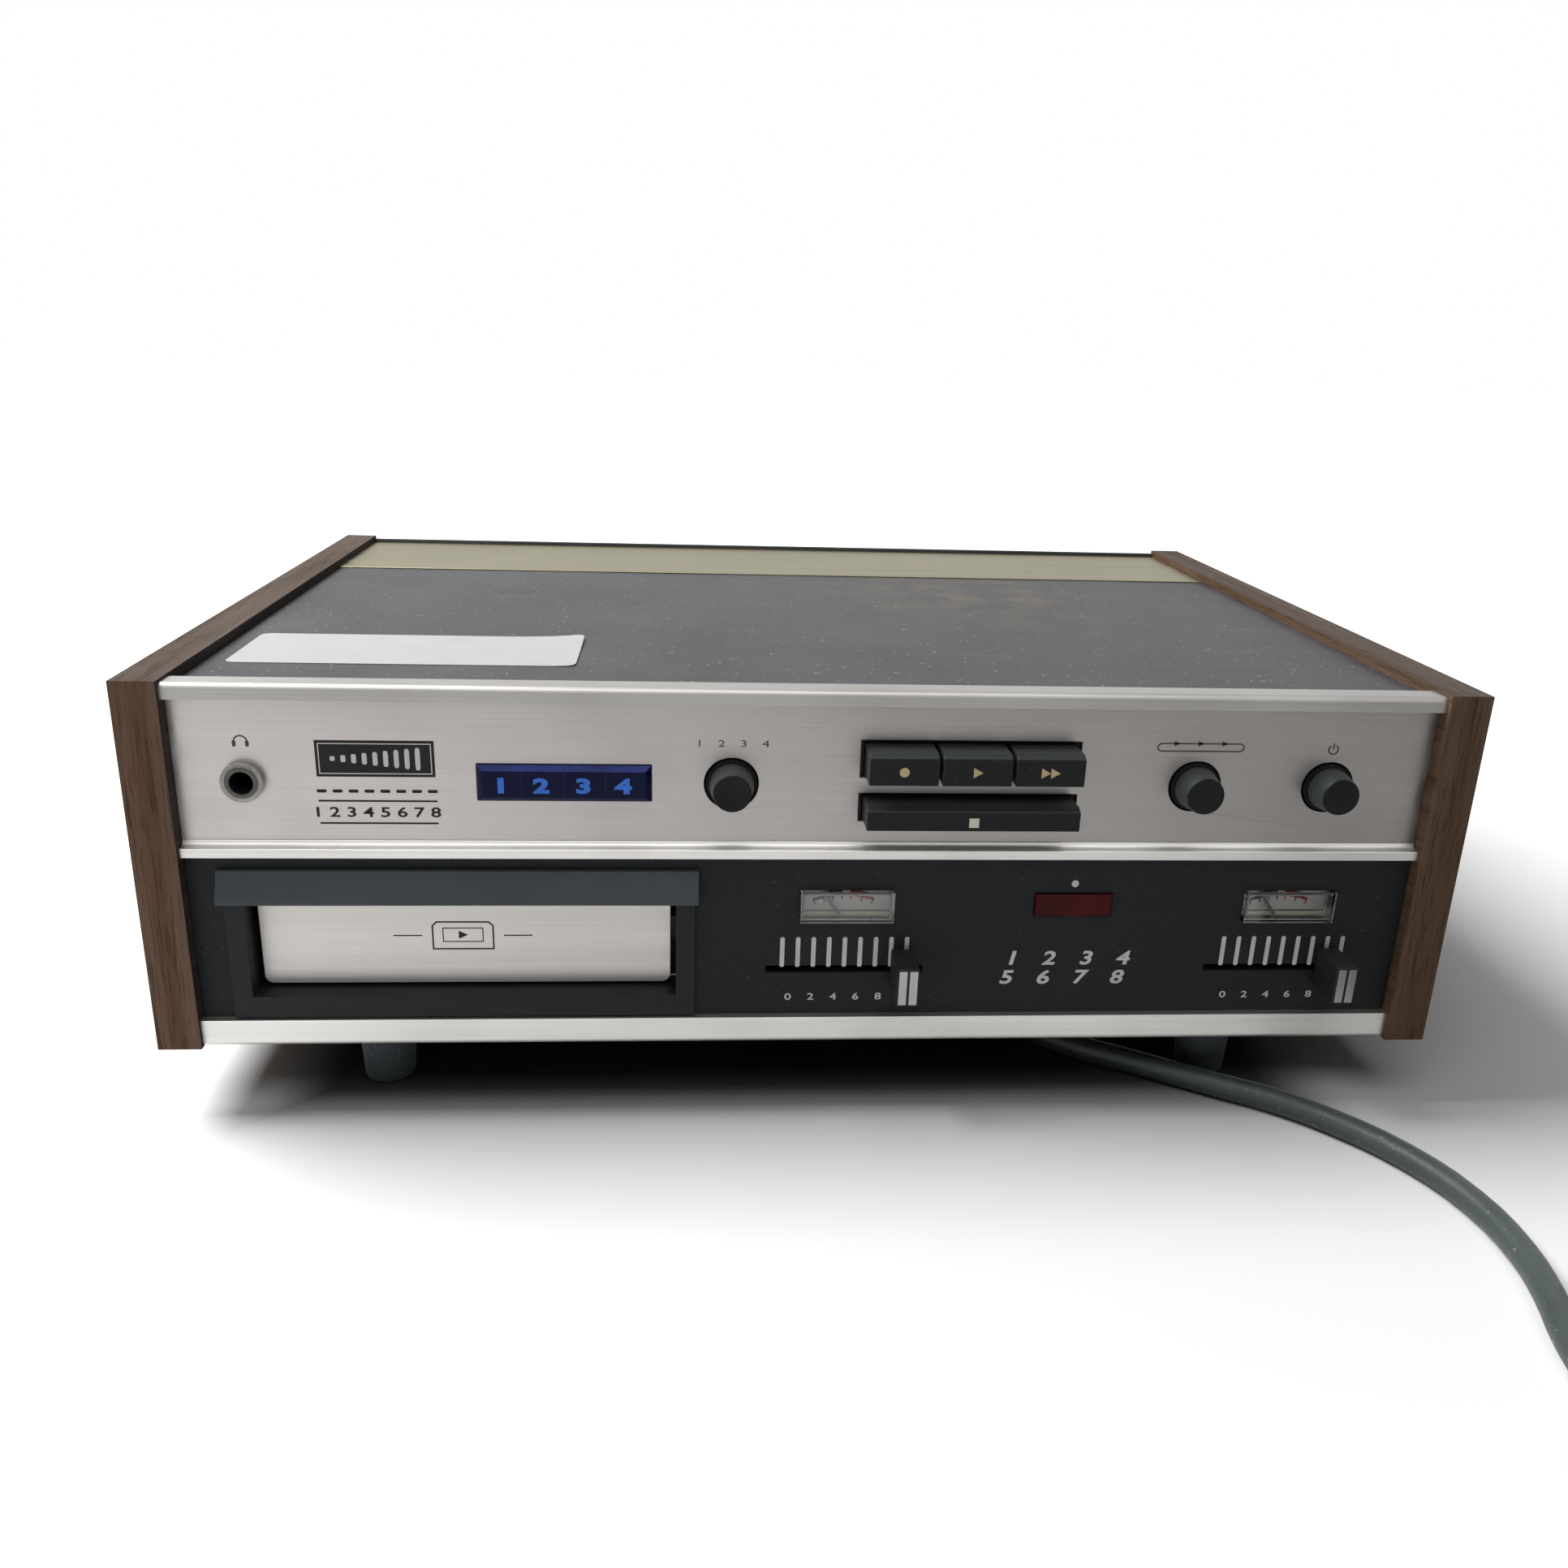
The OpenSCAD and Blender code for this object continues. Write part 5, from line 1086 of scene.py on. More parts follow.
@dataclass
class Cabinet:
    """The wooden sides, the painted cover, base and rear, the feet, the screws and the label."""

    label: tuple[float, float, float, float] = (-167.0, 33.0, -69.0, 70.0)
    label_z: float = 104.03     # mm above the case's bottom: the cover's top and a hair more
    label_corner: float = 2.5
    label_cells: tuple[int, int] = (40, 16)
    label_lift: float = 0.9     # mm that its loose corner stands up
    curl: float = 24.0          # mm from that corner over which it lifts
    side_lift: float = 0.25     # mm that its right edge stands up
    side_curl: float = 9.0      # mm from that edge over which it lifts
    paper_thick: float = 0.00014        # metres
    foot_places: tuple[Pair, ...] = ((-127, 24), (127, 24), (-127, 220), (127, 220))
    rear_screws: tuple[float, ...] = (-150.0, -10.0, 95.0)
    rear_crown: Pair = (243.18, 8.2)     # how far back and how high they sit
    foot_crown_z: float = -14.98
    crown_angle: float = 30.0   # degrees over which an edge of a crown stays crisp
    left_inner_x: float = -173.0

    def paper(self) -> Piece:
        """Lay the blank paper label on the cover, its corners rounded and a little lifted."""
        x1, y1, x2, y2 = self.label
        r = self.label_corner
        wide, deep = self.label_cells
        work = bmesh.new()
        knots = []
        for j in range(deep + 1):
            for i in range(wide + 1):
                x, y = x1 + (x2 - x1) * i / wide, y1 + (y2 - y1) * j / deep
                cx, cy = min(max(x, x1 + r), x2 - r), min(max(y, y1 + r), y2 - r)
                off = math.hypot(x - cx, y - cy)
                if off > r:
                    x, y = cx + (x - cx) * r / off, cy + (y - cy) * r / off
                corner = max(0.0, 1 - math.hypot(x2 - x, y2 - y) / self.curl)
                side = max(0.0, 1 - (x2 - x) / self.side_curl)
                lift = self.label_lift * corner ** 2 + self.side_lift * side ** 2
                knots.append(work.verts.new(row(x, y, self.label_z + lift)))
        for j in range(deep):
            for i in range(wide):
                a = j * (wide + 1) + i
                work.faces.new([knots[a], knots[a + 1], knots[a + wide + 2], knots[a + wide + 1]])
        made = piece("paper_label", from_work("paper_label", work), PAPER)
        sheet = made.modifiers.new("sheet", "SOLIDIFY")
        sheet.thickness = self.paper_thick
        sheet.offset = 1.0
        return smooth(settle(made))

    def feet(self) -> Piece:
        """Turn the four rubber feet, each with a recess for its screw."""
        profile = [(0, 9), (3.6, 9), (3.6, 0.6), (4.1, 0.1), (4.4, 0), (6.0, 0), (6.6, 0.12),
                   (7.05, 0.45), (7.4, 0.95), (7.5, 1.5), (7.7, 5.5), (8.38, 19.2), (8.1, 19.5),
                   (8.1, 20.1), (8.45, 20.4), (8.5, 22), (0, 22)]
        made = [lathed("foot", profile, row(x, y, -BASE_Z), Vector((0, 0, 1)), RUBBER, sides=48)
                for x, y in self.foot_places]
        whole = bmesh.new()
        for foot in made:
            whole.from_mesh(foot.data)
            bpy.data.objects.remove(foot)
        return smooth(piece("rubber_feet", from_work("rubber_feet", whole), RUBBER), ROUND_ANGLE)

    def crown(self) -> Piece:
        """Build the crown of a pan head with its cross recess, facing +Z."""
        work = bmesh.new()
        sides, rings, size = 32, 9, 3.0     # the size is in mm, as is all below
        high, arm, width, depth, rim = 0.55, 1.9, 0.5, 0.45, 0.02
        middle = work.verts.new((0, 0, (high - depth) / 1000))
        circles = []
        for k in range(1, rings + 1):
            circle = []
            for i in range(sides):
                u = size * k / rings * math.cos(math.tau * i / sides)
                v = size * k / rings * math.sin(math.tau * i / sides)
                far, near = max(abs(u), abs(v)), min(abs(u), abs(v))
                dip = depth if far < arm and near < width else 0.0
                up = max(high * (1 - (k / rings) ** 2) - dip, rim)
                circle.append(work.verts.new((u / 1000, v / 1000, up / 1000)))
            circles.append(circle)
        for i in range(sides):
            work.faces.new([middle, circles[0][i], circles[0][(i + 1) % sides]])
            for one, two in zip(circles, circles[1:]):
                work.faces.new([one[i], two[i], two[(i + 1) % sides], one[(i + 1) % sides]])
        work.faces.new([circles[-1][i] for i in reversed(range(sides))])
        return piece("crown", from_work("crown", work), ZINC)

    def crowns(self, repeats: Repeats) -> Piece:
        """Set a crown on each screw that can be seen."""
        spots = [(row(x, *self.rear_crown), (0, 1, 0)) for x in self.rear_screws]
        spots += [(row(x, y, self.foot_crown_z), (0, 0, -1)) for x, y in self.foot_places]
        mesh = bpy.data.meshes.new("screw_crowns")
        mesh.from_pydata([spot for spot, _ in spots], [], [])
        facing = mesh.attributes.new("facing", "FLOAT_VECTOR", "POINT")
        for value, (_, way) in zip(facing.data, spots):
            value.vector = way
        crown = self.crown()
        made = repeats.grown("screw_crowns", repeats.crowns(), {"Crown": crown, "Seed": 7},
                             ZINC, mesh=mesh)
        bpy.data.objects.remove(crown)
        return smooth(made, self.crown_angle)

    def build(self, repeats: Repeats) -> None:
        """Build and place the cabinet's pieces."""
        # the left panel's inner face takes the painted shade
        clad("left_side_panel", "case", "walnut", WALNUT, WALNUT_PAINTED_SHADE, edge=0.8,
             split=lambda p: int(p.x > self.left_inner_x - NEAR))
        clad("right_side_panel", "case", "walnut", WALNUT, edge=0.8)
        clad("top_cover", "case", "cover_steel", COVER_PAINT, edge=0.4)
        clad("rear_trim", "case", "champagne_trim", CHAMPAGNE, edge=0.2)
        clad("rear_panel", "case", "rear_steel", CHASSIS_PAINT, edge=0.2)
        repaint(CHASSIS_PAINT, "base_plate")
        place(self.feet(), "case", "foot_rubber", "feet")
        place(self.paper(), "case", "cover_steel")
        repaint(ZINC, "screws")
        place(self.crowns(repeats), "case", "pin_steel")


@dataclass
class Fascia:
    """The brushed fascia between its rails, with its plain signs and the program window.

    Places are in mm to the right of the middle and above the case's bottom.
    """

    face: float = 4.5           # mm of the fascia's face behind the case's front
    bar_sign: tuple[float, float, float, float] = (-120.15, 85.2, 31.3, 10.2)
    first_bar: float = 11.2     # mm from the bar sign's middle to its first bar
    edge_gap: float = 0.9       # mm from the bar sign's edge to its bright line
    on_ink: float = 0.04        # mm that what is printed on the ink stands out
    rules: tuple[float, ...] = (73.2, 66.8)
    rule_ends: Pair = (-135.9, -104.4)
    tracks: Pair = (-120.1, 70.0)
    track_bars: Pair = (-134.85, 76.0)
    phones: Pair = (-154.8, 89.6)
    four: Pair = (-33.6, 90.3)
    four_pitch: float = 6.0
    loop: Pair = (105.8, 90.3)
    loop_arm: float = 11.2
    loop_round: float = 1.1
    arrows: tuple[float, ...] = (99.0, 105.8, 112.6)
    power: Pair = (144.0, 90.0)
    window_face: float = 2.5
    window_edge: Pair = (4.3, 82.6)      # the bevel: before this y, over this z
    programs: tuple[float, ...] = (-87.0, -76.2, -64.9, -54.2)
    program_z: float = 78.5
    dividers: tuple[float, ...] = (-81.4, -70.1, -58.8)
    divider_ends: Pair = (75.3, 82.3)

    def marks(self) -> Piece:
        """Print the bar sign's ground, the rules and the plain signs over the controls."""
        ink = Marks(row(0, self.face, 0))
        u, v, wide, high = self.bar_sign
        ink.bar(u, v, wide, high)
        for z in self.rules:
            ink.stroke([(x, z) for x in self.rule_ends], 0.5)
        ink.figures("1 2 3 4 5 6 7 8", *self.tracks, 2.9, 1.45, 0.1)
        # headphones
        x, z = self.phones
        ink.arc(x, z, 1.75, 0, 180, 0.42, 1)
        for side in (-1, 1):
            ink.bar(x + side * 1.7, z - 0.5, 0.95, 1.6, 1, 0.3)
        # the four programs
        x, z = self.four
        for i in range(4):
            ink.figures(str(i + 1), x + self.four_pitch * i, z, 2.0, 1.5, 0.0, 1)
        # a tape loop for endless play
        x, z = self.loop
        ring = [(x + a * self.loop_arm + self.loop_round * math.cos(t),
                 z + self.loop_round * math.sin(t))
                for a, first in ((1, -90), (-1, 90))
                for t in [math.radians(first + 30 * k) for k in range(7)]]
        ink.stroke(ring, 0.4, True, 1)
        for tail in self.arrows:
            ink.outline([(tail - 0.9, z + 1.9), (tail - 0.9, z + 0.3), (tail + 0.9, z + 1.1)], 1)
        # on and off
        x, z = self.power
        ink.arc(x, z, 1.35, 125, 415, 0.42, 1)
        ink.bar(x, z + 0.9, 0.42, 1.7, 1)
        return ink.made("fascia_marks", BLACK_INK, GREY_INK)

    def frame_line(self) -> Piece:
        """Draw the fine bright line inside the bar sign's edge."""
        line = Marks(row(0, self.face - self.on_ink, 0), proud=self.on_ink)
        u, v, wide, high = self.bar_sign
        wide, high = wide / 2 - self.edge_gap, high / 2 - self.edge_gap
        line.stroke([(u - wide, v - high), (u + wide, v - high), (u + wide, v + high),
                     (u - wide, v + high)], 0.28, True)
        return line.made("bar_sign_line", SATIN_METAL)

    def window_figures(self) -> Piece:
        """Print the four program numbers on the window, with the lines between them."""
        ink = Marks(row(0, self.window_face, 0))
        for i, x in enumerate(self.programs):
            ink.figures(str(i + 1), x, self.program_z, 4.1, 1.5, 0.42)
        for x in self.dividers:
            ink.stroke([(x, z) for z in self.divider_ends], 0.12, False, 1)
        return ink.made("window_figures", BLUE_INK, BLUE_LINE)

    def build(self, repeats: Repeats) -> None:
        """Build and place the fascia's pieces."""
        clad("fascia", "case", "fascia_aluminium", FASCIA_METAL, edge=0.2)
        # the top rail takes the painted shade, the lower rails the painted light
        for node, finish in (("top_rail", RAIL_TOP_SHADED), ("middle_rail", RAIL_LOWER_LIT),
                             ("bottom_rail", RAIL_LOWER_LIT)):
            clad(node, "case", "rail_aluminium", finish, edge=0.25)
        place(self.marks(), "case", "fascia_aluminium")
        place(self.frame_line(), "case", "fascia_aluminium")
        bars = repeats.bars()
        u, v = self.bar_sign[:2]
        place(repeats.grown("bar_sign_bars", bars, {
            "Count": 9, "Pitch": 0.0028, "Width": 0.0013, "Height": 0.0013, "Corner": 0.0003,
            "Rise": 0.48, "Thickness": 0.00005}, SATIN_METAL,
            on_front(u - self.first_bar, self.face - self.on_ink, v)), "case", "fascia_aluminium")
        x, z = self.track_bars
        place(repeats.grown("track_bars", bars, {
            "Count": 8, "Pitch": 0.0042, "Width": 0.0026, "Height": 0.0009, "Corner": 0.0003,
            "Rise": 0.0, "Thickness": 0.00005}, BLACK_INK, on_front(x, self.face, z)),
            "case", "fascia_aluminium")
        y, z = self.window_edge
        # the top bevel takes the painted highlight
        clad("program_window", "case", "window_blue", BLUE_ACRYLIC, BLUE_BEVEL_LIT, edge=0.25,
             split=lambda p: int(p.y < y and p.z > z))
        place(self.window_figures(), "case", "window_blue")


@dataclass
class Controls:
    """The push buttons, the four keys and the phones jack."""

    height: float = 78.8
    buttons: tuple[tuple[str, float], ...] = (
        ("selector_button", -24.8), ("continuous_button", 105.5), ("power_button", 144.0))
    button_front: float = -4.5
    jack_x: float = -155.0
    jack_hole: float = 3.4      # mm from the jack's axis to where the hole ends
    jack_bush: float = 4.35     # mm from it to where the bush ends
    jack_depth: float = 6.6     # mm behind the front where only the dark hole is seen
    key_front: float = -5.0
    key_edge: float = 0.5       # mm behind a key's front where its top begins
    key_z: float = 85.5
    stop_z: float = 71.1
    keys: tuple[tuple[str, float], ...] = (
        ("record_key", 21.3), ("play_key", 41.3), ("fast_forward_key", 61.3), ("stop_key", 41.3))

    def button(self, node: str, x: float) -> Piece:
        """Turn a tapered button with a dished end and a soft rim."""
        # the face, then the painted light on the cone's front, then the painted shade on its rear
        return lathed(node + "_finished", [
            (0, 0.55), (2.3, 0.45), (3.9, 0.2), (4.5, 0.04), (4.8, 0), (5.05, 0.1), (5.2, 0.4),
            (5.5, 2.6), (5.8, 4.7), (6.15, 7.7), (6.2, 8.4), (6.95, 8.6), (7, 9.2), (7, 16.4),
            (6.6, 16.5), (2.5, 16.5), (2.5, 28.5), (0, 28.5)],
            row(x, self.button_front, self.height), Vector((0, 1, 0)),
            CAP_BLACK, CAP_CONE_LIT, CAP_REAR_SHADE,
            marks=6 * (0,) + (1, 1, 1) + 8 * (2,))

    def key_mark(self, node: str, x: float) -> Piece:
        """Stamp the plain transport sign of a key on its front."""
        ink = Marks(row(x, self.key_front, self.stop_z if node == "stop_key" else self.key_z))
        if node == "record_key":
            ink.disc(0, 0, 1.35)
        elif node == "stop_key":
            ink.bar(0, 0, 2.7, 2.7)
        else:
            starts = (-1.2,) if node == "play_key" else (-2.6, 0.0)
            for u in starts:
                ink.outline([(u, -1.45), (u + 2.6, 0), (u, 1.45)])
        return ink.made(node + "_mark", CREAM_INK if node == "stop_key" else GOLD_INK)

    def jack_finish(self, spot: Vector) -> int:
        """Give the number of the jack's finish at a spot: nut, black hole or bush."""
        across = math.hypot(spot.x - self.jack_x, spot.z - self.height)
        if spot.y > self.jack_depth or across < self.jack_hole:
            return 1
        return 2 if across < self.jack_bush else 0

    def build(self) -> None:
        """Build and place the controls."""
        for node, x in self.buttons:
            place(self.button(node, x), node, "button_cap", node)
        for node, x in self.keys:
            # each key's top takes the painted light
            clad(node, node, "key_cap", KEY_BLACK, KEY_TOP_LIT, edge=0.3,
                 split=lambda p: int(p.y > self.key_front + self.key_edge))
            place(self.key_mark(node, x), node, "key_cap")
        clad("phones_jack", "case", "jack_chrome", NUT_NICKEL, FADER_BLACK, BUSH_NICKEL,
             edge=0.35, split=self.jack_finish)
        repaint(CHASSIS_PAINT, "key_frame")
        repaint(PHENOLIC, "push_switches")


@dataclass
class LevelPanel:
    """The black lower panel with its meters, sliders, scales and record lamp."""

    face: float = 4.0
    centres: tuple[tuple[str, float], ...] = (("left", 8.75), ("right", 138.2))
    knobs: tuple[tuple[str, float], ...] = (("left", 25.25), ("right", 152.2))
    scale_starts: tuple[float, ...] = (-9.4, 120.5)
    knob_front: float = -9.5
    knob_middle_z: float = 23.2
    knob_bars: tuple[float, ...] = (-1.5, 1.5)
    pivot_z: float = 35.3
    card_y: Pair = (10.45, 10.2)     # mm behind the front: its back, its front
    arc_below: float = 16.2     # mm from the card's origin down to the middle of its arc
    arc_radius: float = 24.4
    ticks: tuple[float, ...] = (112, 105, 98.5, 92, 86, 78, 70)     # degrees
    tick_ends: Pair = (22.8, 24.6)
    scale_z: float = 27.9
    figures_z: float = 13.6
    figures_from: float = 2.0   # mm from the first bar to the middle of the figure 0
    figures_pitch: float = 6.6
    lamp_dot: Pair = (74.2, 49.3)
    tracks: Pair = (73.9, 22.7)      # the middle of the eight track figures
    track_pitch: Pair = (11.0, 6.2)

    def knob_face(self, side: str, x: float) -> Piece:
        """Build the two bright bars on a knob's front, with the groove between them."""
        bars = Marks(row(x, self.knob_front, self.knob_middle_z), sunk=0.05, proud=0.22)
        for u in self.knob_bars:
            bars.bar(u, 0, 2.25, 10.4, 0, 0.25)
        return bars.made(side + "_slider_bars", SATIN_METAL)

    def card(self, side: str, x: float) -> Piece:
        """Build a meter's scale card, its arc with the red end, and the cover of its movement."""
        back, front = self.card_y
        card = Marks(row(x, back, self.pivot_z), sunk=0.0, proud=back - front)
        card.bar(0, 3.2, 28.0, 18.4)
        ink = Marks(row(x, front, self.pivot_z), sunk=0.0, proud=0.04)
        ink.arc(0, -self.arc_below, self.arc_radius, 112, 92, 1.0, 1)
        ink.arc(0, -self.arc_below, self.arc_radius, 86, 70, 1.0, 3)
        for angle in self.ticks:
            a = math.radians(angle)
            ink.stroke([(end * math.cos(a), end * math.sin(a) - self.arc_below)
                        for end in self.tick_ends], 0.45, False, 3 if angle < 90 else 1)
        ink.bar(0, -1.3, 27.6, 8.2, 2)
        ink.bar(0, 3.0, 27.6, 0.45, 1)
        card.shapes += ink.shapes
        return card.made(side + "_meter_card", SCALE_GREY, SCALE_DARK, SCALE_TAN, SCALE_RED)

    def marks(self) -> Piece:
        """Print the plain figures of the panel."""
        ink = Marks(row(0, self.face, 0))
        for start in self.scale_starts:
            for i in range(5):
                ink.figures(str(2 * i), start + self.figures_from + self.figures_pitch * i,
                            self.figures_z, 2.2, 1.35, 0.05)
        ink.disc(*self.lamp_dot, 1.05)
        x, z = self.tracks
        wide, high = self.track_pitch
        tracks = Marks(row(x, self.face, z), lean=0.2)
        for i in range(4):
            for first, side in ((1, 1), (5, -1)):
                tracks.figures(str(i + first), (i - 1.5) * wide, side * high / 2, 4.4, 1.3, 0.2)
        ink.shapes += tracks.shapes
        return ink.made("panel_figures", WHITE_INK)

    def build(self, repeats: Repeats) -> None:
        """Build and place the panel's pieces."""
        clad("lower_panel", "case", "lower_panel_black", PANEL_BLACK, edge=0.25)
        place(self.marks(), "case", "lower_panel_black")
        bars = repeats.bars()
        for (side, _), start in zip(self.centres, self.scale_starts):
            place(repeats.grown(side + "_level_scale", bars, {
                "Count": 9, "Pitch": 0.0045, "Width": 0.0013, "Height": 0.0094,
                "Corner": 0.0005, "Rise": 0.0, "Thickness": 0.00006}, WHITE_INK,
                on_front(start, self.face, self.scale_z)), "case", "lower_panel_black")
        for side, x in self.knobs:
            clad(side + "_slider", side + "_slider", "slider_cap", SLIDER_BLACK)
            place(self.knob_face(side, x), side + "_slider", "slider_cap")
        for side, x in self.centres:
            place(self.card(side, x), "case", "meter_body")
        clad("meter_lenses", "case", "meter_glass", CLEAR_ACRYLIC, edge=0.25)
        clad("record_lamp_lens", "case", "lamp_red", RED_ACRYLIC, edge=0.25)
        repaint(PALE_PLASTIC, "meter_cases", "lamp_holders")
        repaint(FADER_BLACK, "faders")
        repaint(LAMP_GLASS, "indicator_lamps")
        repaint(NEEDLE_PAINT, "left_meter_needle", "right_meter_needle")


@dataclass
class CartridgeBay:
    """The bezel with its hood, the hinged door and the tray behind it."""

    door_face_y: float = 9.0
    hood: Pair = (4.0, 44.4)     # the hood lies before this y and over this z
    sign: Pair = (-100.3, 31.0)

    def door_sign(self) -> Piece:
        """Print a plain sign of a cartridge between two fine rules."""
        ink = Marks(row(self.sign[0], self.door_face_y, self.sign[1]))
        body = [(-8.5, -4.2), (8.5, -4.2), (8.5, 3.0), (7.3, 4.2), (-7.3, 4.2), (-8.5, 3.0)]
        ink.stroke(body, 0.45, True)
        ink.stroke([(-5.6, -1.9), (5.6, -1.9), (5.6, 2.3), (-5.6, 2.3)], 0.3, True)
        ink.outline([(-1.2, -1.0), (1.4, 0.2), (-1.2, 1.4)])
        for side in (-1, 1):
            ink.stroke([(side * 11.5, 0), (side * 19.5, 0)], 0.35)
        return ink.made("door_sign", BLACK_INK)

    def build(self) -> None:
        """Build and place the bay's pieces."""
        y, z = self.hood
        # the hood's faces take the painted light
        clad("cartridge_bezel", "case", "bezel_black", BEZEL_BLACK, HOOD_LIT, edge=0.45,
             split=lambda p: int(p.y < y and p.z > z))
        clad("cartridge_door", "door", "door_black", BEZEL_BLACK)
        clad("door_face", "door", "door_aluminium", DOOR_METAL, edge=0.12)
        place(self.door_sign(), "door", "door_aluminium")
        clad("cartridge_tray", "case", "inner_steel", ZINC, edge=0.2)
        repaint(NICKEL, "door_hinge_pin")


@dataclass
class Mechanism:
    """The drive, the head and the program changer behind the bay."""

    def build(self) -> None:
        """Finish and place the pieces of the mechanism."""
        clad("flywheel", "flywheel", "flywheel_iron", IRON, edge=0.5)
        clad("motor", "case", "motor_steel", MOTOR_STEEL, edge=0.8)
        clad("head_carriage", "head", "carriage_metal", ZINC, edge=0.2)
        clad("tape_head", "head", "head_metal", HEAD_METAL)
        clad("solenoid", "case", "motor_steel", MOTOR_STEEL)
        repaint(BRASS, "motor_pulley", "capstan_bush")
        repaint(BELT, "drive_belt")
        repaint(ZINC, "deck_plate", "cam_bracket")
        repaint(PALE_PLASTIC, "program_cam")
        repaint(NICKEL, "solenoid_plunger")


@dataclass
class Electrics:
    """The transformer, the circuit board and the line jacks on the rear."""

    board_top: float = 15.6     # mm above the case's bottom
    jacks_back: float = 241.3   # mm behind the front where the jacks' metal shells begin

    def build(self) -> None:
        """Finish and place the electric pieces."""
        clad("power_transformer", "case", "core_steel", CORE, edge=0.4)
        clad("transformer_winding", "case", "winding", COPPER, edge=1.2)
        clad("circuit_board", "case", "board", BOARD, MOTOR_STEEL, edge=0.2,
             split=lambda p: int(p.z > self.board_top + NEAR))
        clad("line_jacks", "case", "line_jack_metal", NICKEL, PHENOLIC, edge=0.25,
             split=lambda p: int(p.y < self.jacks_back))


@dataclass(frozen=True)
class SoftBox:
    """A soft box: its place, the point that it faces and its size in metres, its power in W."""

    name: str
    at: Triple
    aim: Triple
    size: Pair
    power: float

    def hang(self) -> None:
        """Hang it in the scene."""
        data = bpy.data.lights.new(self.name, "AREA")
        data.shape = "RECTANGLE"
        data.size, data.size_y = self.size
        data.energy = self.power
        made = shown(self.name, data)
        made.location = self.at
        way = Vector(self.aim) - Vector(self.at)
        made.rotation_euler = way.to_track_quat("-Z", "Y").to_euler()


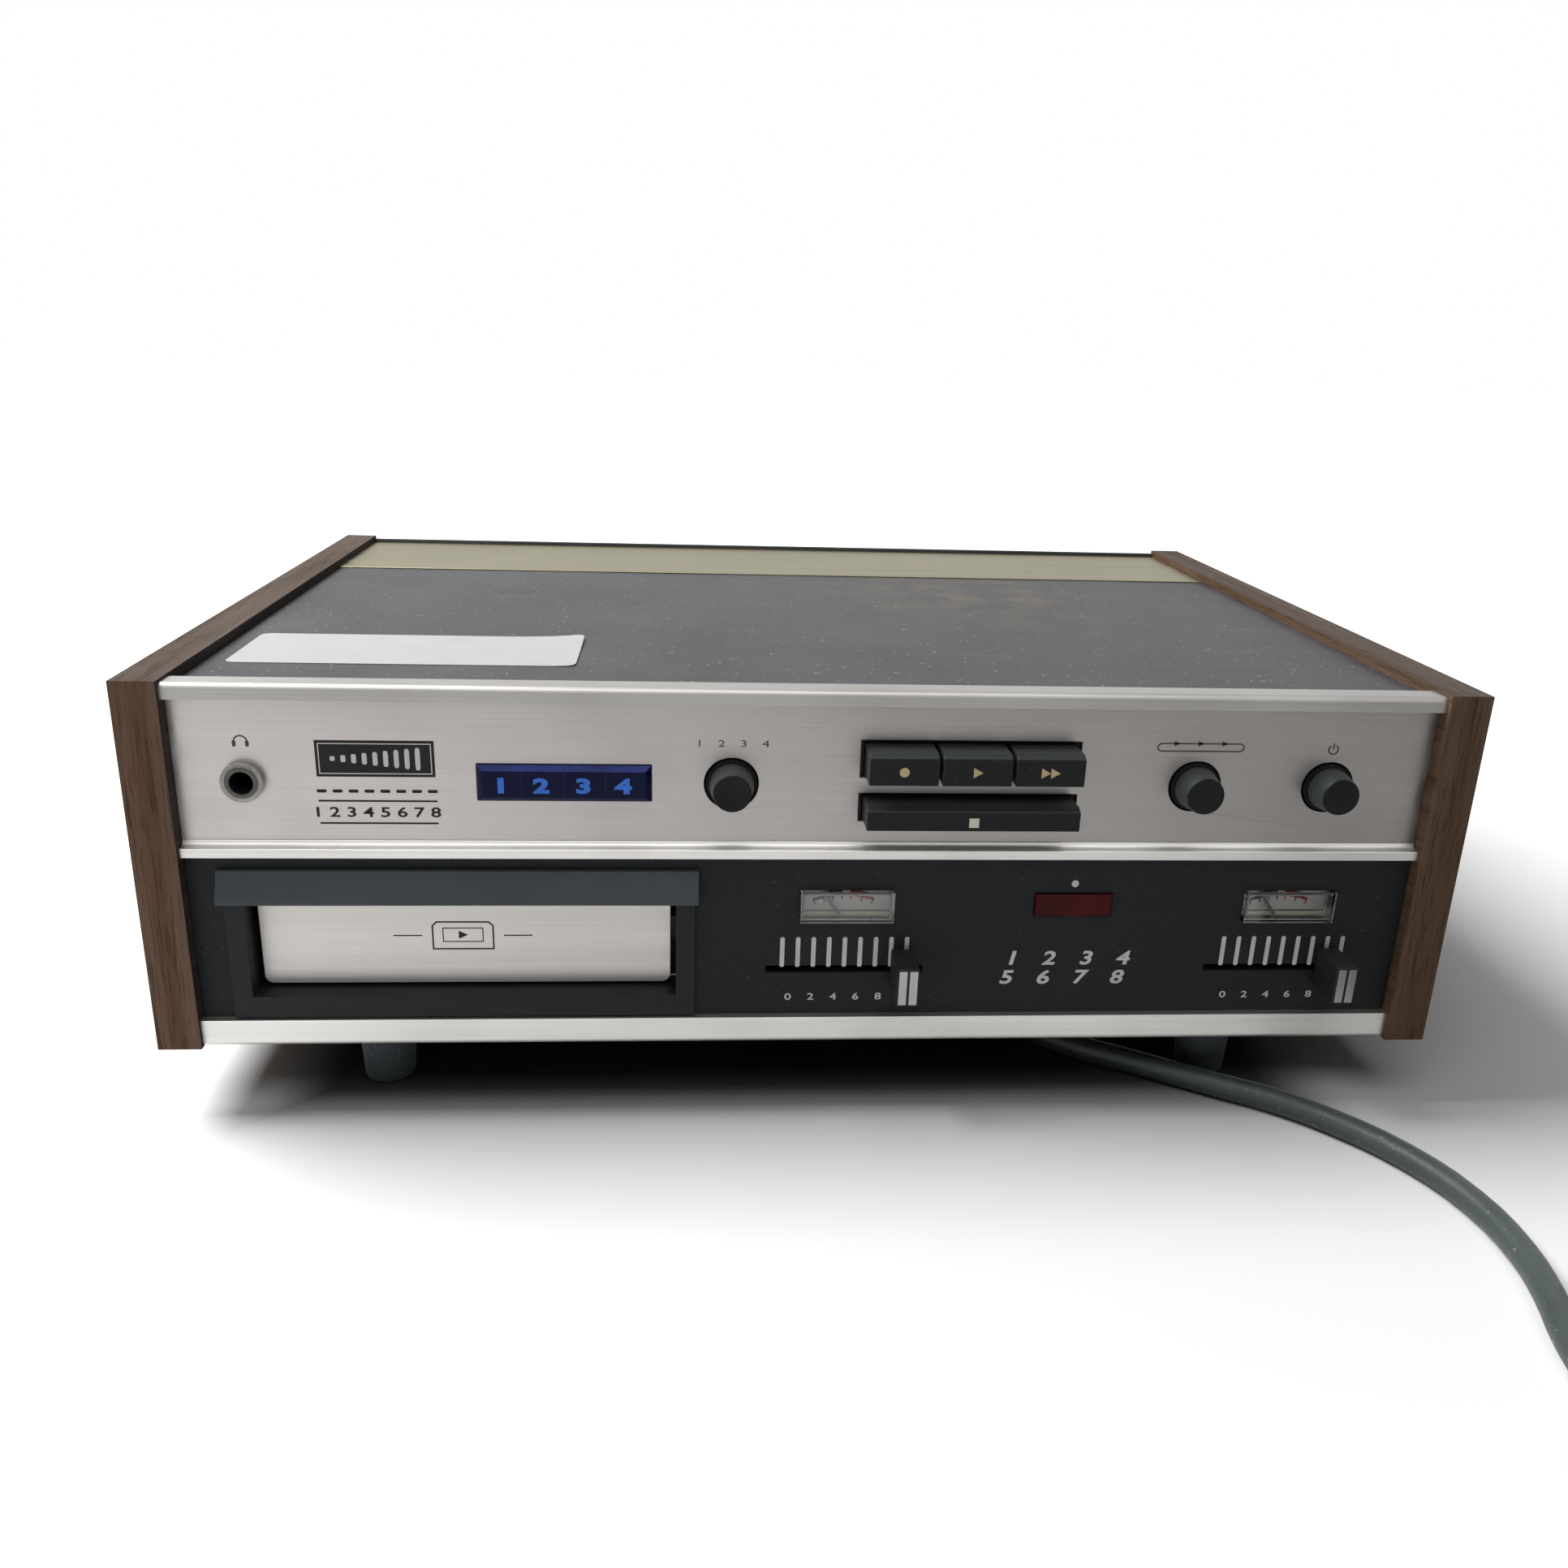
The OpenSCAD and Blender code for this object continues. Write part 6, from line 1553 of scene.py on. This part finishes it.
@dataclass
class Studio:
    """The pale floor, the soft lamps, the white surroundings and the camera."""

    eye: Triple = (-0.0367, -0.45815, 0.2185)
    look: Triple = (71.02, -1.70, -3.83)    # degrees
    lens: float = 30.235
    sensor: float = 36.0
    ambient: float = 0.035
    floor_half: float = 6.0         # metres from the middle of the floor to its edge
    floor_z: float = -0.0002
    painted_shadow: str = "#505050"     # painted shadow: the floor close under the deck is drawn dark, deepening its shadow there
    open_floor: str = "#f0f0f0"
    shadow_fade_x: Pair = (0.14, 0.168)    # metres over which the one turns to the other
    shadow_fade_y: Pair = (0.105, 0.13)
    whiter: Pair = (0.18, 0.7)       # metres over which the floor goes white
    boxes: tuple[SoftBox, ...] = (
        SoftBox("top_box", (-0.75, 0.12, 1.1), (0, 0, 0.05), (0.62, 0.62), 24.0),
        SoftBox("front_box", (-0.1, -0.85, 1.4), (0, 0, 0.06), (1.2, 0.8), 5.7))

    def camera(self) -> None:
        """Put the camera where the photograph was taken from."""
        data = bpy.data.cameras.new("camera")
        data.lens = self.lens
        data.sensor_width = self.sensor
        data.clip_start = 0.01
        made = shown("camera", data)
        made.location = self.eye
        made.rotation_euler = [math.radians(a) for a in self.look]
        bpy.context.scene.camera = made
        bpy.context.scene.view_settings.view_transform = "Standard"

    def eased(self, tree: Tree, value: Socket, ends: Pair) -> Socket:
        """Let a value rise softly from 0 to 1 between two ends."""
        return add(tree, "ShaderNodeMapRange", {"interpolation_type": "SMOOTHSTEP"}, {
            "Value": value, "From Min": ends[0], "From Max": ends[1]}).outputs[0]

    def floor(self) -> None:
        """Lay a pale matt floor that keeps the shadow, with a painted shadow close under the deck,
        and goes white away from it.
        """
        work = bmesh.new()
        bmesh.ops.create_grid(work, x_segments=8, y_segments=8, size=self.floor_half)
        mesh = from_work("floor", work)
        made = shown("floor", mesh)
        made.location = (0, 0, self.floor_z)
        paint = bpy.data.materials.new("pale_floor")
        tree = cleared(paint)
        path = add(tree, "ShaderNodeLightPath")
        here = add(tree, "ShaderNodeTexCoord").outputs["Object"]
        spread = add(tree, "ShaderNodeVectorMath", {"operation": "ABSOLUTE"}, {0: here})
        sides = add(tree, "ShaderNodeSeparateXYZ", inputs={0: spread.outputs[0]}).outputs
        # painted shadow: dark close under the deck, pale outside it
        outside = counted(tree, "MAXIMUM", self.eased(tree, sides["X"], self.shadow_fade_x),
                          self.eased(tree, sides["Y"], self.shadow_fade_y))
        shade = mixed(tree, outside, self.painted_shadow, self.open_floor)
        matt = add(tree, "ShaderNodeBsdfDiffuse", inputs={"Color": shade})
        away = add(tree, "ShaderNodeVectorMath", {"operation": "LENGTH"}, {0: here})
        lift = counted(tree, "MULTIPLY", path.outputs["Is Camera Ray"],
                       self.eased(tree, away.outputs[1], self.whiter))
        glow = add(tree, "ShaderNodeEmission", inputs={"Strength": lift})
        both = add(tree, "ShaderNodeAddShader", inputs={0: matt.outputs[0], 1: glow.outputs[0]})
        add(tree, "ShaderNodeOutputMaterial", inputs={"Surface": both.outputs[0]})
        mesh.materials.append(paint)

    def surroundings(self) -> None:
        """Make the world white to the camera and to gloss, and a soft grey to light."""
        world = bpy.data.worlds.new("surroundings")
        bpy.context.scene.world = world
        tree = cleared(world)
        path = add(tree, "ShaderNodeLightPath").outputs
        bright = counted(tree, "MAXIMUM", path["Is Camera Ray"], path["Is Glossy Ray"])
        seen = counted(tree, "MAXIMUM", bright, path["Is Transmission Ray"])
        soft, white = (add(tree, "ShaderNodeBackground", inputs={
            "Color": linear("#ffffff"), "Strength": strength}) for strength in (self.ambient, 1.0))
        both = add(tree, "ShaderNodeMixShader", inputs={
            0: seen, 1: soft.outputs[0], 2: white.outputs[0]})
        add(tree, "ShaderNodeOutputWorld", inputs={"Surface": both.outputs[0]})

    def build(self) -> None:
        """Set up the studio but for its camera."""
        self.floor()
        self.surroundings()
        for box in self.boxes:
            box.hang()


def main() -> None:
    """Build the deck from its sub-assemblies in order."""
    logging.basicConfig(level=logging.INFO, format="%(name)s: %(message)s")
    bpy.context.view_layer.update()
    studio = Studio()
    studio.camera()
    repeats = Repeats()
    MainsLead().build(repeats)
    Cabinet().build(repeats)
    Fascia().build(repeats)
    Controls().build()
    LevelPanel().build(repeats)
    CartridgeBay().build()
    Mechanism().build()
    Electrics().build()
    studio.build()


if __name__ == "__main__":
    main()
